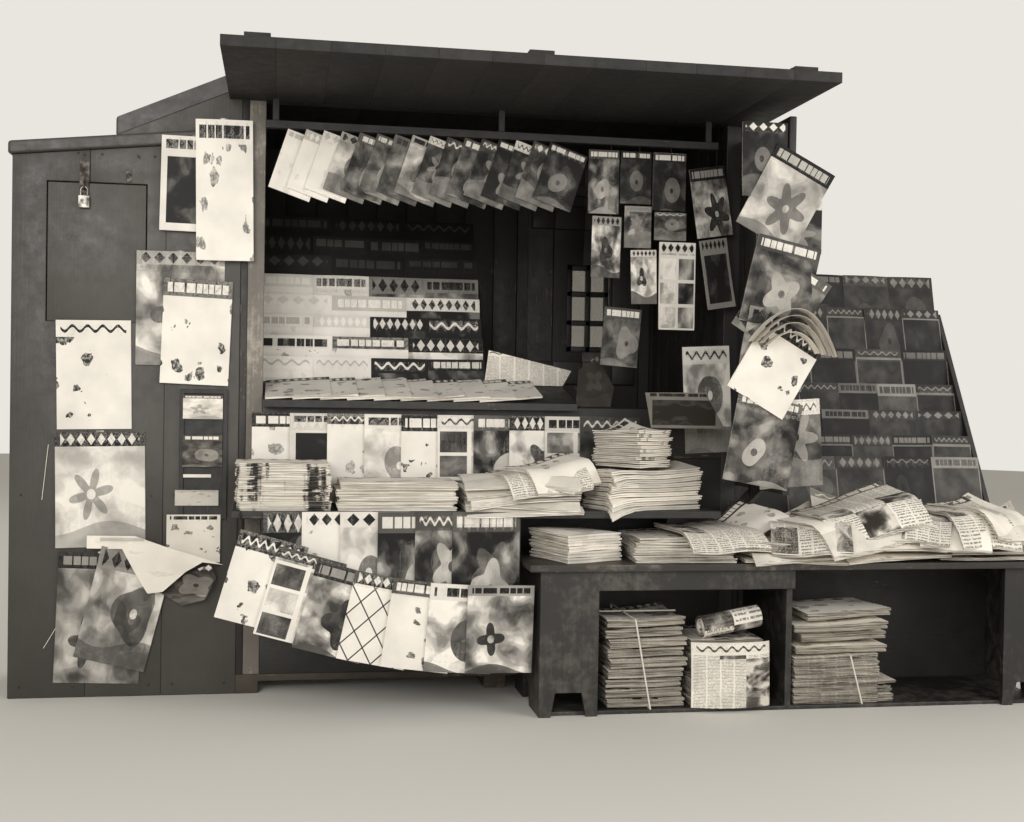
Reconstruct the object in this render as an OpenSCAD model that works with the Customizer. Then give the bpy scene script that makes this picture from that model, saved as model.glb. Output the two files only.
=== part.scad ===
// Street newsstand kiosk: a boarded booth with an open serving front under a raised flap,
// a locked cabinet on its left, a folded shutter and a stepped rack on its right, a bench
// in front, and its stock of magazines and newspapers.
// Millimetres. The origin is on the ground under the middle of the booth, the serving
// front faces -Y, and +X is to the right for someone who looks at the front.

/* [Booth] */
// Inside width of the booth
booth_w = 1600; // [1560:10:1700]
// Inside depth of the booth
booth_d = 1000; // [960:10:1200]
// Thickness of the wall boards
board_t = 22; // [18:1:26]
// Height of the bearers under the floor
bearer_h = 38; // [30:1:60]
// Width of a bearer
bearer_w = 70; // [50:1:90]
// Thickness of the floor deck
deck_t = 22; // [18:1:30]
// Side of a square front post
post_w = 50; // [40:1:55]
// Height of the underside of the lintel above the ground
lintel_z = 1850; // [1830:5:1900]
// Height of the lintel at its front face
lintel_h = 130; // [120:1:160]
// Thickness of the roof
roof_t = 26; // [20:1:40]
// Overhang of the roof past each wall
roof_over = 45; // [30:1:80]

/* [Flap] */
// Reach of the raised flap in front of the booth
flap_d = 650; // [600:5:700]
// Thickness of the flap boards
flap_t = 30; // [24:1:36]
// Overhang of the flap past each side wall
flap_side = 40; // [20:1:60]
// Width of a batten on top of the flap
flap_batten_w = 70; // [50:1:90]
// Thickness of a batten on top of the flap
flap_batten_t = 18; // [14:1:22]
// Diameter of an iron stay rod
stay_d = 10; // [8:0.5:12]
// Distance of the lower stay eyes in front of the lintel
stay_reach = 520; // [450:5:560]

/* [Rear door] */
// Distance of the doorway from the right wall
door_from_right = 50; // [40:5:120]
// Width of the doorway
door_w = 500; // [460:5:520]
// Height of the doorway
door_h = 1700; // [1600:5:1740]
// Height of the back wall over the doorway
over_door_h = 118; // [100:1:140]
// Running gap round the door
door_gap = 5; // [5:0.5:8]
// Distance of the window from the latch edge of the doorway
window_x = 185; // [150:1:200]
// Width of the window
window_w = 176; // [150:1:200]
// Height of the window sill above the ground
window_z = 1120; // [1000:5:1160]
// Height of the window
window_h = 350; // [300:5:380]
// Thickness of the glass
glass_t = 3; // [3:0.5:6]
// Width of a ledge board on the inside of the door
ledge_w = 90; // [70:1:110]
// Thickness of a ledge board
ledge_t = 18; // [14:1:22]
// Radius of a hinge knuckle
knuckle_r = 8; // [7:0.5:10]
// Radius of a hinge pin
pin_r = 4.5; // [3.5:0.5:5]
// Height of a hinge
hinge_h = 90; // [75:1:110]
// Width of a hinge plate
hinge_w = 40; // [32:1:42]
// Thickness of a hinge plate
hinge_t = 3; // [2.5:0.5:4]
// Radius of the door knob
knob_r = 24; // [20:1:28]
// Height of the knob above the ground
knob_z = 960; // [900:5:1040]

/* [Counter] */
// Height of the top of the counter ledge
counter_z = 600; // [590:1:620]
// Depth of the counter ledge
counter_d = 300; // [290:1:310]
// Thickness of the ledge and of the shelf
shelf_t = 22; // [18:1:24]
// Height of the counter front above the ledge
counter_front_h = 308; // [304:1:320]
// Slope of the upper shelf in degrees
shelf_slope = 13; // [10:0.5:15]
// Depth of the upper shelf
shelf_d = 250; // [230:1:255]
// Overhang of the upper shelf in front of the booth
shelf_over = 40; // [36:1:50]
// Length of the upper shelf
shelf_w = 1050; // [1000:10:1080]

/* [Magazines] */
// Thickness of a magazine
mag_t = 6; // [4:0.5:7]
// Width of a weekly magazine
weekly_w = 205; // [190:1:215]
// Height of a weekly magazine
weekly_h = 280; // [265:1:286]
// Width of a large picture magazine
picture_w = 264; // [250:1:270]
// Height of a large picture magazine
picture_h = 352; // [340:1:358]
// Width of a pocket digest
digest_w = 132; // [120:1:140]
// Height of a pocket digest
digest_h = 190; // [180:1:200]
// Clearance at which loose paper lies on what carries it
seat = 0.3; // [0.2:0.05:0.4]
// Clearance at which a board is nailed down on a sloping face
nailed = 0.05; // [0.02:0.01:0.2]

/* [Upper rack] */
// Inside width of the upper rack
upper_w = 772; // [740:1:780]
// Number of its rows
upper_rows = 9; // [5:1:9]
// Rise from row to row
upper_rise = 72; // [64:1:78]
// Run from row to row
upper_run = 45; // [42:1:48]
// Height of its lowest row above the ground
upper_z = 670; // [650:1:690]
// Height of a magazine in the upper rack
upper_mag_h = 330; // [310:1:350]
// Lean of racked magazines in degrees
lean = 15; // [12:0.5:16]
// Thickness of a slat
slat_t = 10; // [8:1:14]
// Thickness of the side boards of a rack
side_t = 18; // [15:1:22]

/* [Cabinet] */
// Width of the cabinet
cab_w = 678; // [660:1:720]
// Depth of the cabinet
cab_d = 450; // [400:5:500]
// Height of the cabinet under its lid, at the outer side
cab_h = 1650; // [1640:1:1670]
// Rise of the lid towards the booth, in degrees
cab_slope = 6; // [5:0.1:6.5]
// Thickness of the lid
lid_t = 40; // [34:1:44]
// Overhang of the lid
lid_over = 12; // [10:1:14]
// Height of the cabinet floor above the ground
cab_floor_z = 60; // [40:1:80]
// Distance of the hatch from the outer side
hatch_x = 100; // [90:1:110]
// Width of the hatch
hatch_w = 295; // [280:1:300]
// Height of the hatch sill above the ground
hatch_z = 1150; // [1140:1:1160]
// Height of the hatch
hatch_h = 425; // [415:1:430]
// Gap round the hatch
hatch_gap = 3; // [2:0.5:4]
// Width of the boarded gusset between the cabinet and the roof
gusset_w = 378; // [360:1:390]
// Slope of the raking cap in degrees
rake_slope = 24; // [22:0.5:25]
// Thickness of the raking cap
rake_t = 50; // [40:1:52]
// Depth of the raking cap
rake_d = 60; // [50:1:70]

/* [Shutter leaf] */
// Depth of the folded leaf
leaf_d = 420; // [410:1:430]
// Height of the lower edge of the leaf above the ground
leaf_z = 660; // [650:1:680]
// Height of the leaf
leaf_h = 1140; // [1120:1:1150]

/* [Right rack] */
// Inside width of the right rack
rack_w = 900; // [880:1:940]
// Run from row to row
rack_run = 62; // [60:1:66]
// Height of its lowest row above the ground
rack_z = 497; // [480:1:510]
// Height of a magazine in the right rack
rack_mag_h = 262; // [240:1:265]

/* [Bench] */
// Distance of the bench from the left wall
bench_x = 866; // [855:1:875]
// Length of the bench frame
bench_w = 1661; // [1640:1:1690]
// Depth of the bench frame
bench_d = 400; // [390:1:410]
// Height of the top of the bench
bench_z = 453; // [440:1:460]
// Thickness of the bench boards
bench_t = 20; // [18:1:24]
// Overhang of the bench top past its left end
bench_over = 36; // [25:1:40]
// Width of the front stile at each end
stile_w = 178; // [150:1:185]
// Distance of the divider from the left end of the bench
divider_from_left = 770; // [740:1:800]
// Height of the apron under the top
apron_h = 60; // [45:1:70]
// Width of a foot cut-out at the ground
foot_w = 106; // [90:1:110]
// Height of a foot cut-out
foot_h = 72; // [50:1:80]
// Thickness of the boards that the bench holds its bundles on
bench_floor_t = 12; // [8:1:16]

/* [Lines and rails] */
// Depth of the hanging rail
rail_d = 30; // [24:1:34]
// Height of the hanging rail
rail_h = 24; // [20:1:30]
// Height of the underside of the hanging rail above the ground
rail_z = 1757; // [1750:1:1765]
// Diameter of a display wire
wire_d = 3; // [2:0.5:4]
// Height of the front line at its left end
line_z = 557; // [550:1:560]
// Sag of the front line from its left end to its lowest stretch
line_sag = 169; // [150:1:175]
// Distance of the front line in front of the counter ledge
line_y = 80; // [76:1:90]

/* [Hidden] */

// Places that follow from the sizes above
x_left = -booth_w / 2;
x_right = booth_w / 2;
y_front = -booth_d / 2;
y_back = booth_d / 2;
x_out_l = x_left - board_t;
x_out_r = x_right + board_t;
y_out = y_back + board_t;
floor_z = bearer_h + deck_t;
door_x1 = x_right - door_from_right;
door_x0 = door_x1 - door_w;
hinge_x = door_x1 - door_gap / 2;
hinge_y = y_out + knuckle_r;
ledge_y = y_front - counter_d;
front_y = ledge_y - line_y;
cab_x = x_out_l - cab_w;
bench_x0 = x_left + bench_x;
bench_x1 = bench_x0 + bench_w;
bench_y = y_front - bench_d;
divider_x = bench_x0 + divider_from_left;
rail_y = y_front - 60;
hang_y = rail_y + rail_d / 2;
upper_x = x_left + side_t;
shelf_y1 = y_front - shelf_over + shelf_d;
shelf_low = counter_z + counter_front_h + (shelf_y1 - y_front) * tan(shelf_slope);
upper_y = shelf_y1 + 6 - (shelf_low - upper_z) * tan(lean);
rack_x = x_out_r + side_t;
rack_y = y_front + 46;
// Rises between the rows of the right rack, from the front
rack_rises = [73, 73, 87, 96, 127, 154, 126];

// Fall of the roof from front to back, in degrees, which leaves room for the doorway
roof_slope = atan((lintel_z + lintel_h - floor_z - door_h - over_door_h) / (y_out - y_front));
// Height of the underside of the roof at a depth
function roof_z(y) = lintel_z + lintel_h - (y - y_front) * tan(roof_slope);
// Height of the underside and of the top of the cabinet lid at a place across
function lid_z(x) = cab_h + (x - cab_x) * tan(cab_slope);
function lid_top(x) = lid_z(x) + lid_t;
// Height of the underside of the raking cap
function rake_z(x) = lid_top(x_out_l - gusset_w) + (x - x_out_l + gusset_w) * tan(rake_slope);
// Yaw at which magazines a pitch apart lie on each other with the seat between them
function yaw_of(pitch, tilt = 0) = asin((mag_t + seat) / (pitch * cos(tilt)));
// Sum of the first n numbers of a list
function sum_to(list, n) = n <= 0 ? 0 : list[n - 1] + sum_to(list, n - 1);
// Distance from the foot of a racked magazine back to the slat that it leans on
function lean_reach(rise) = mag_t * cos(lean) + (rise - seat) * tan(lean) + seat;
// Height of the front line at a place along it, as a share of its length
function line_at(u) = line_z - line_sag * (1 - pow(1 - u, 2.2));

// A board whose outline lies in the Y Z plane, from x to x + t
module yz_board(points, x, t) {
    translate([x, 0, 0])
        rotate([90, 0, 90])
            linear_extrude(t)
                polygon(points);
}

// A board whose outline lies in the X Z plane, from y to y + t
module xz_board(points, y, t) {
    translate([0, y + t, 0])
        rotate([90, 0, 0])
            linear_extrude(t)
                polygon(points);
}

// A box from a corner, by its size
module block(at, size) {
    translate(at)
        cube(size);
}

// A magazine that hangs from its upper left corner, turned clockwise in its own plane
module hung(w, h, turn = 0) {
    rotate([0, turn, 0])
        translate([0, 0, -h])
            cube([w, mag_t, h]);
}

// A magazine that stands on its lower left front edge and leans back
module leaning(w, h, tilt) {
    translate([0, 0, mag_t * sin(tilt) + seat])
        rotate([-tilt, 0, 0])
            cube([w, mag_t, h]);
}

// A pile of paper made of layers of one thickness that lie a little askew
module pile(at, w, d, layer_t, layers, askew = 4) {
    for (i = [0:layers - 1])
        translate([at[0] + askew * (1 + sin(i * 137)), at[1] + askew * (1 + cos(i * 101)),
                   at[2] + i * layer_t])
            cube([w - 2 * askew, d - 2 * askew, layer_t]);
}

module floor_platform() {
    color("#3a342e") {
        block([x_out_l, y_front, bearer_h], [booth_w + 2 * board_t, booth_d + board_t, deck_t]);
        for (x = [x_out_l, -bearer_w / 2, x_out_r - bearer_w])
            block([x, y_front, 0], [bearer_w, booth_d + board_t, bearer_h]);
    }
}

// A side wall is an upright board wall whose top follows the roof
module side_wall(x) {
    color("#2f2a25")
        yz_board([[y_front, floor_z], [y_out, floor_z], [y_out, roof_z(y_out)],
                  [y_front, roof_z(y_front)]], x, board_t);
}

module left_wall() { side_wall(x_out_l); }

module right_wall() { side_wall(x_right); }

// A stretch of the back wall between two places across, from a height up to the roof
module back_wall(x0, x1, z0) {
    color("#2f2a25")
        yz_board([[y_back, z0], [y_out, z0], [y_out, roof_z(y_out)], [y_back, roof_z(y_back)]],
                 x0, x1 - x0);
}

module back_wall_left() { back_wall(x_left, door_x0, floor_z); }

module back_wall_right() { back_wall(door_x1, x_right, floor_z); }

module back_wall_over_door() { back_wall(door_x0, door_x1, floor_z + door_h); }

module door_leaf() {
    leaf_x = door_x0 + door_gap;
    leaf_w = door_w - 2 * door_gap;
    color("#37312b") {
        difference() {
            block([leaf_x, y_back, floor_z + door_gap], [leaf_w, board_t, door_h - 2 * door_gap]);
            block([door_x0 + window_x, y_back - 1, window_z], [window_w, board_t + 2, window_h]);
        }
        for (z = [floor_z + 120, window_z - ledge_w - 40, floor_z + door_h - ledge_w - 60])
            block([leaf_x + 30, y_back - ledge_t, z], [leaf_w - 60, ledge_t, ledge_w]);
    }
}

module door_glass() {
    color("#b9bdb8")
        block([door_x0 + window_x, y_back + (board_t - glass_t) / 2, window_z],
              [window_w, glass_t, window_h]);
}

// A round knob on a neck and a rose, turned about an axis along Y
module knob() {
    rotate([-90, 0, 0]) {
        cylinder(h = 4, r = knob_r + 2, $fn = 48);
        cylinder(h = 30, r = knob_r * 0.4, $fn = 32);
        translate([0, 0, 24 + knob_r * 0.7])
            sphere(r = knob_r, $fn = 48);
    }
}

module door_fittings() {
    knob_x = door_x0 + door_gap + 45;
    color("#8a8378") {
        translate([knob_x, y_out, knob_z])
            knob();
        translate([knob_x, y_back, knob_z])
            mirror([0, 1, 0])
                knob();
    }
}

// Heights of the two hinges
function hinge_heights() = [floor_z + 190, floor_z + door_h - 190 - hinge_h];

// The leaf half of each hinge: a plate and its middle knuckle with a bore for the pin
module door_hinges() {
    middle = hinge_h / 3;
    color("#4c4741")
        for (z = hinge_heights())
            translate([hinge_x, y_out, z]) {
                block([-hinge_w - 4, 0, 0], [hinge_w - knuckle_r, hinge_t, hinge_h]);
                difference() {
                    union() {
                        block([-knuckle_r - 5, 0, middle + seat],
                              [knuckle_r + 5, hinge_t, middle - 2 * seat]);
                        translate([0, knuckle_r, middle + seat])
                            cylinder(h = middle - 2 * seat, r = knuckle_r, $fn = 48);
                    }
                    translate([0, knuckle_r, 0])
                        cylinder(h = hinge_h, r = pin_r + seat, $fn = 48);
                }
            }
}

// The frame half of each hinge: a plate, the end knuckles and the pin
module frame_hinges() {
    end = hinge_h / 3;
    color("#4c4741")
        for (z = hinge_heights())
            translate([hinge_x, y_out, z]) {
                block([knuckle_r + 4, 0, 0], [hinge_w - knuckle_r, hinge_t, hinge_h]);
                for (k = [0, 2 * end]) {
                    block([1, 0, k], [knuckle_r + 4, hinge_t, end]);
                    translate([0, knuckle_r, k])
                        cylinder(h = end, r = knuckle_r, $fn = 48);
                }
                translate([0, knuckle_r, 0])
                    cylinder(h = hinge_h, r = pin_r, $fn = 48);
            }
}

module roof() {
    y0 = y_front - roof_over;
    y1 = y_out + roof_over;
    rise = roof_t / cos(roof_slope);
    color("#26221e")
        translate([0, 0, nailed])
            yz_board([[y0, roof_z(y0)], [y1, roof_z(y1)], [y1, roof_z(y1) + rise],
                      [y0, roof_z(y0) + rise]],
                     x_out_l - roof_over, booth_w + 2 * board_t + 2 * roof_over);
}

module lintel() {
    y1 = y_front + post_w;
    color("#37312b")
        yz_board([[y_front, lintel_z], [y1, lintel_z], [y1, roof_z(y1)],
                  [y_front, roof_z(y_front)]], x_left, booth_w);
}

module canopy_flap() {
    x0 = x_out_l - flap_side;
    w = booth_w + 2 * board_t + 2 * flap_side;
    color("#2f2a25") {
        block([x0, y_front - flap_d, lintel_z], [w, flap_d, flap_t]);
        for (x = [x0 + 60, x0 + (w - flap_batten_w) / 2, x0 + w - flap_batten_w - 60])
            block([x, y_front - flap_d + 30, lintel_z + flap_t],
                  [flap_batten_w, flap_d - 60, flap_batten_t]);
    }
}

// An iron rod from an eye block on the lintel to an eye block on the flap
module stay(x) {
    eye = stay_d + 8;
    top_z = lintel_z + lintel_h - 8 - eye / 2;
    low_z = lintel_z + flap_t + flap_batten_t + eye / 2;
    fall = top_z - low_z;
    run = stay_reach - eye / 2;
    translate([x, 0, 0]) {
        block([-eye / 2, y_front - eye, top_z - eye / 2], [eye, eye, eye]);
        block([-eye / 2, y_front - stay_reach - eye / 2, low_z - eye / 2], [eye, eye, eye]);
        translate([0, y_front - eye / 2, top_z])
            rotate([90 + atan(fall / run), 0, 0])
                cylinder(h = norm([run, fall]), r = stay_d / 2, $fn = 32);
    }
}

module canopy_stays() {
    x0 = x_out_l - flap_side + 60 + flap_batten_w / 2;
    color("#3b3833")
        for (x = [x0, -x0])
            stay(x);
}

module post(x) {
    color("#37312b")
        block([x, y_front, floor_z], [post_w, post_w, lintel_z - floor_z]);
}

module left_post() { post(x_left); }

module right_post() { post(x_right - post_w); }

module lower_front() {
    color("#26221e")
        block([x_left + post_w, y_front, floor_z],
              [booth_w - 2 * post_w, board_t, counter_z - shelf_t - floor_z]);
}

// The counter ledge stands out in front of the booth on three brackets
module counter_ledge() {
    z0 = counter_z - shelf_t;
    reach = z0 - bench_z - 7;
    ledge_x = x_left - 30;
    ledge_w = 1480;
    color("#332d27") {
        block([ledge_x, ledge_y, z0], [ledge_w, counter_d, shelf_t]);
        for (x = [x_left + 100, x_left + 640, x_left + ledge_w - 160])
            yz_board([[y_front, z0], [y_front - reach, z0], [y_front, z0 - reach]], x, board_t);
    }
}

// The counter front stands on the lower front, and its top follows the shelf
module counter_front() {
    z0 = counter_z - shelf_t;
    z1 = counter_z + counter_front_h;
    color("#2b2621")
        yz_board([[y_front, z0], [y_front + board_t, z0],
                  [y_front + board_t, z1 + board_t * tan(shelf_slope)], [y_front, z1]],
                 x_left + post_w, booth_w - 2 * post_w);
}

// Height of the top face of the upper shelf at a depth
function shelf_top(y) = counter_z + counter_front_h + (y - y_front) * tan(shelf_slope)
    + shelf_t / cos(shelf_slope);

module upper_shelf() {
    y0 = y_front - shelf_over;
    y1 = y0 + shelf_d;
    under = shelf_t / cos(shelf_slope) - nailed;
    color("#332d27")
        yz_board([[y0, shelf_top(y0) - under], [y1, shelf_top(y1) - under], [y1, shelf_top(y1)],
                  [y0, shelf_top(y0)]], x_left + post_w, shelf_w - post_w);
}

// A slat of a stepped rack: a magazine stands on it, and the one before leans on its edge
module slat(x, y, z, w, rise, run) {
    front = y - run + lean_reach(rise);
    block([x, front, z - slat_t], [w, y + mag_t + 6 - front, slat_t]);
}

// The side board of a stepped rack, from the ground or floor up along the slats
module rack_side(x, z_foot, y0, z0, y1, z1) {
    lip = 5;
    yz_board([[y0 - lip, z_foot], [y0 - lip, z0 + lip], [y1 - lip, z1 + lip],
              [y1 + 40, z1 + lip], [y1 + 40, z_foot]], x, side_t);
}

module upper_rack() {
    first = upper_y - upper_run + lean_reach(upper_rise);
    last = first + upper_rows * upper_run;
    top = upper_z + upper_rows * upper_rise;
    color("#2b2621") {
        for (i = [0:upper_rows])
            slat(upper_x, upper_y + i * upper_run, upper_z + i * upper_rise, upper_w,
                 upper_rise, upper_run);
        for (x = [upper_x - side_t, upper_x + upper_w])
            rack_side(x, floor_z, first, upper_z, last, top);
    }
}

// A rail on two cleats under the counter ledge, for the row of magazines below it
module lower_rack() {
    cleat = 20;
    rail_top = counter_z - picture_h + 7;
    x0 = x_left + 55;
    x1 = bench_x0 - bench_over - 8;
    color("#332d27") {
        block([x0, ledge_y - 30, rail_top - cleat], [x1 - x0, 50, cleat]);
        for (x = [x0, x1 - cleat])
            block([x, ledge_y, rail_top], [cleat, cleat, counter_z - shelf_t - rail_top]);
    }
}

// The front line is a wire that sags from an arm on the ledge to the end of the bench
module front_line() {
    steps = 8;
    arm_t = 6;
    y = front_y + 20;
    x0 = x_left - arm_t;
    x1 = bench_x0;
    drop = 14;
    color("#4c4741") {
        yz_board([[ledge_y, counter_z - 2], [ledge_y, counter_z - shelf_t + 2],
                  [y - 8, line_z - drop - 10], [y - 8, line_z - drop + 10]], x0, arm_t);
        for (i = [0:steps - 1]) {
            a = [x_left + (x1 - x_left) * i / steps, line_at(i / steps) - drop];
            b = [x_left + (x1 - x_left) * (i + 1) / steps, line_at((i + 1) / steps) - drop];
            translate([a[0], y, a[1]])
                rotate([0, 90 + atan((a[1] - b[1]) / (b[0] - a[0])), 0])
                    translate([0, 0, seat])
                        cylinder(h = norm(b - a) - 2 * seat, r = wire_d / 2, $fn = 16);
        }
    }
}

// A batten hung from the flap by three iron straps
module hanging_rail() {
    x0 = x_left + 50;
    w = booth_w - 150;
    z1 = rail_z + rail_h;
    strap_t = 4;
    color("#332d27") {
        block([x0, rail_y, rail_z], [w, rail_d, rail_h]);
        for (x = [x0 + 20, x0 + w / 2, x0 + w - 40])
            block([x, hang_y - strap_t / 2, z1], [20, strap_t, lintel_z - z1]);
    }
}

// Hung magazines on the right of the opening: place from the wall, top, width, height, turn
hang_list = [
    [-530, 1740, 100, 204, 0], [-514, 1528, 95, 196, 1], [-424, 1740, 102, 168, 0],
    [-408, 1564, 88, 134, 0], [-386, 1422, 84, 174, -2], [-468, 1238, 122, 188, 4],
    [-316, 1740, 110, 186, 0], [-308, 1548, 106, 90, 0], [-290, 1452, 122, 284, 0],
    [-196, 1690, 120, 226, -9], [-156, 1459, 92, 226, -9]
];
// Wires that carry them: place from the wall and height of the foot
wire_list = [[-455, 1100], [-360, 1300], [-255, 1200], [-100, 1290]];

module display_wires() {
    y = hang_y + seat + wire_d / 2;
    color("#6b675f")
        for (wire = wire_list)
            translate([x_right + wire[0], y, wire[1]])
                cylinder(h = rail_z - wire[1], r = wire_d / 2, $fn = 16);
}

// Cabinet

// An upright board of the cabinet across X, whose top follows the lid
module cab_board(x0, x1, y, t, z0) {
    xz_board([[x0, z0], [x1, z0], [x1, lid_z(x1) - nailed], [x0, lid_z(x0) - nailed]], y, t);
}

module cabinet_sides() {
    color("#55504a")
        for (x = [cab_x, x_out_l - board_t])
            cab_board(x, x + board_t, y_front + board_t, cab_d - board_t, 0);
}

module cabinet_back() {
    color("#55504a")
        cab_board(cab_x + board_t, x_out_l - board_t, y_front + cab_d - board_t, board_t, 0);
}

module cabinet_floor() {
    color("#3d3934")
        block([cab_x + board_t, y_front + board_t, cab_floor_z],
              [cab_w - 2 * board_t, cab_d - 2 * board_t, board_t]);
}

module cabinet_front() {
    color("#55504a")
        difference() {
            cab_board(cab_x, x_out_l, y_front, board_t, 0);
            block([cab_x + hatch_x, y_front - 1, hatch_z], [hatch_w, board_t + 2, hatch_h]);
        }
}

module cabinet_lid() {
    x0 = cab_x - lid_over;
    color("#47423c")
        xz_board([[x0, lid_z(x0)], [x_out_l, lid_z(x_out_l)], [x_out_l, lid_top(x_out_l)],
                  [x0, lid_top(x0)]], y_front - lid_over, cab_d + 2 * lid_over);
}

module hatch() {
    color("#5a554f")
        block([cab_x + hatch_x + hatch_gap, y_front, hatch_z],
              [hatch_w - 2 * hatch_gap, board_t, hatch_h - hatch_gap]);
}

hasp_x = 110;
hasp_t = 4;
staple_r = 12;
staple_wire = 2.5;
shackle_r = 10;
lock_w = 32;
lock_h = 37;
lock_t = 14;
staple_z = hatch_z + hatch_h - 12;
shackle_y = y_front - hasp_t - 4.5;
shackle_z = staple_z - 4.5;

// A ring wire bent to half a circle, in the X Y plane, open towards -Y
module half_ring(r, wire) {
    rotate([0, 0, 180])
        rotate_extrude(angle = 180, $fn = 64)
            translate([r, 0])
                circle(r = wire, $fn = 24);
}

// A hasp strap with its staple, and a small hook with its eye
module hatch_fittings() {
    x = cab_x + hatch_x + hasp_x;
    hook_x = cab_x + hatch_x + hatch_w - 55;
    color("#3b3833") {
        block([x - 14, y_front - hasp_t, hatch_z + hatch_h - 34], [28, hasp_t, 96]);
        translate([x, y_front - hasp_t, staple_z])
            rotate([0, 90, 0])
                half_ring(staple_r, staple_wire);
        block([hook_x - 8, y_front - 3, hatch_z + hatch_h + 4], [16, 3, 40]);
        translate([hook_x, y_front - 3, hatch_z + hatch_h + 30])
            rotate([90, 0, 0])
                cylinder(h = 9, r = 3, $fn = 24);
    }
}

module padlock() {
    leg = 16;
    x = cab_x + hatch_x + hasp_x;
    color("#b4afa5")
        translate([x, shackle_y, shackle_z - shackle_r]) {
            rotate([90, 0, 0])
                mirror([0, 1, 0])
                    half_ring(shackle_r, staple_wire);
            for (s = [-shackle_r, shackle_r])
                translate([s, 0, -leg])
                    cylinder(h = leg, r = staple_wire, $fn = 24);
            block([-lock_w / 2, hasp_t + 4 - lock_t + seat, -leg - lock_h],
                  [lock_w, lock_t - 4, lock_h]);
        }
}

module gusset() {
    x0 = x_out_l - gusset_w;
    color("#4a453f")
        translate([0, 0, nailed])
            xz_board([[x0, lid_top(x0)], [x_out_l, lid_top(x_out_l)],
                      [x_out_l, rake_z(x_out_l)]], y_front, board_t);
}

module raking_cap() {
    x0 = x_out_l - gusset_w;
    rise = rake_t / cos(rake_slope);
    color("#4f4a44")
        translate([0, 0, 2 * nailed])
            xz_board([[x0, rake_z(x0)], [x_out_l, rake_z(x_out_l)],
                      [x_out_l, rake_z(x_out_l) + rise], [x0, rake_z(x0) + rise]],
                     y_front, rake_d);
}

// A framed board and a bare card on the cabinet front
module notice_boards() {
    x = x_out_l - 178;
    frame_w = 14;
    color("#2b2723") {
        difference() {
            block([x, y_front - 12, 548], [145, 12, 402]);
            block([x + frame_w, y_front - 13, 548 + frame_w],
                  [145 - 2 * frame_w, 7, 402 - 2 * frame_w]);
        }
        block([x - 28, y_front - 4, 400], [157, 4, 140]);
    }
}

// The folded shutter leaf stands out from the right wall, with a brace under it
module shutter_leaf() {
    y0 = y_front - leaf_d;
    color("#2b2621")
        yz_board([[y_front, leaf_z], [y_front, leaf_z + leaf_h], [y0, leaf_z + leaf_h],
                  [y0, leaf_z], [y_front - 240, leaf_z], [y_front, leaf_z - 110],
                  [y_front, leaf_z - 60], [y_front - 130, leaf_z]], x_right, board_t);
}

module right_rack() {
    rows = len(rack_rises) - 1;
    first = rack_y - rack_run + lean_reach(rack_rises[0]);
    last = rack_y + rows * rack_run;
    top = rack_z + sum_to(rack_rises, rows + 1) - rack_rises[0];
    color("#2b2621") {
        for (i = [0:rows])
            slat(rack_x, rack_y + i * rack_run,
                 rack_z + sum_to(rack_rises, i + 1) - rack_rises[0], rack_w,
                 rack_rises[i], rack_run);
        block([rack_x, last + mag_t * cos(lean) + 100 * tan(lean) + seat, top + 100 - slat_t],
              [rack_w, 12, slat_t]);
        for (x = [rack_x - side_t, rack_x + rack_w])
            rack_side(x, 0, first, rack_z, last + 26, top + 110);
    }
}

// Bench

// An outline with a trapezoid foot cut-out in the middle of its lower edge
function foot_outline(a, b, h) = let (m = (a + b) / 2) [
    [a, 0], [m - foot_w / 2, 0], [m - foot_w * 0.38, foot_h], [m + foot_w * 0.38, foot_h],
    [m + foot_w / 2, 0], [b, 0], [b, h], [a, h]];

module bench_frame() {
    h = bench_z - bench_t;
    y_in = bench_y + bench_t;
    color("#3f3a34") {
        for (x = [bench_x0, bench_x1 - stile_w])
            xz_board(foot_outline(x, x + stile_w, h), bench_y, bench_t);
        for (x = [bench_x0, bench_x1 - bench_t])
            yz_board(foot_outline(y_in, y_front, h), x, bench_t);
        block([divider_x, y_in, 0], [bench_t, bench_d - bench_t, h]);
        block([bench_x0 + stile_w, bench_y, h - apron_h],
              [divider_x + bench_t - bench_x0 - stile_w, bench_t, apron_h]);
        for (x = [[bench_x0 + bench_t, divider_x], [divider_x + bench_t, bench_x1 - bench_t]])
            block([x[0], y_in, 0], [x[1] - x[0], bench_d - 60, bench_floor_t]);
    }
}

module bench_top() {
    color("#4a443d")
        block([bench_x0 - bench_over, bench_y - 20, bench_z - bench_t],
              [bench_w + 2 * bench_over, bench_d + 20, bench_t]);
}

// A plain board that closes the right bay of the bench at the back
module bench_back() {
    x0 = divider_x + bench_t;
    color("#3f3a34")
        block([x0, y_front - bench_t, 0], [bench_x1 - bench_t - x0, bench_t, bench_z - bench_t]);
}

// Stock of paper

// Digests that hang overlapped from the rail, each turned a little
module overhead_magazines() {
    count = 16;
    turn = 18;
    from_left = 118;
    from_right = 657;
    pitch = (booth_w - from_left - from_right) / (count - 1);
    color("#d9d3c8")
        for (i = [0:count - 1])
            translate([x_left + from_left + i * pitch, rail_y + 4, rail_z - seat])
                rotate([0, 0, yaw_of(pitch)])
                    hung(digest_w, digest_h, turn);
}

module hanging_magazines() {
    color("#b7b1a6") {
        for (m = hang_list)
            translate([x_right + m[0], hang_y - mag_t, m[1]])
                hung(m[2], m[3], m[4]);
        translate([x_right - 192, y_front - mag_t - seat, 1114])
            hung(160, 352, -3);
    }
}

// Columns of magazines on each row of a stepped rack
module rack_columns(count, w, h) {
    pitch = w / count;
    for (i = [0:count - 1])
        translate([i * pitch + seat, 0, 0])
            leaning(pitch - 2 * seat, h, lean);
}

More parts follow.
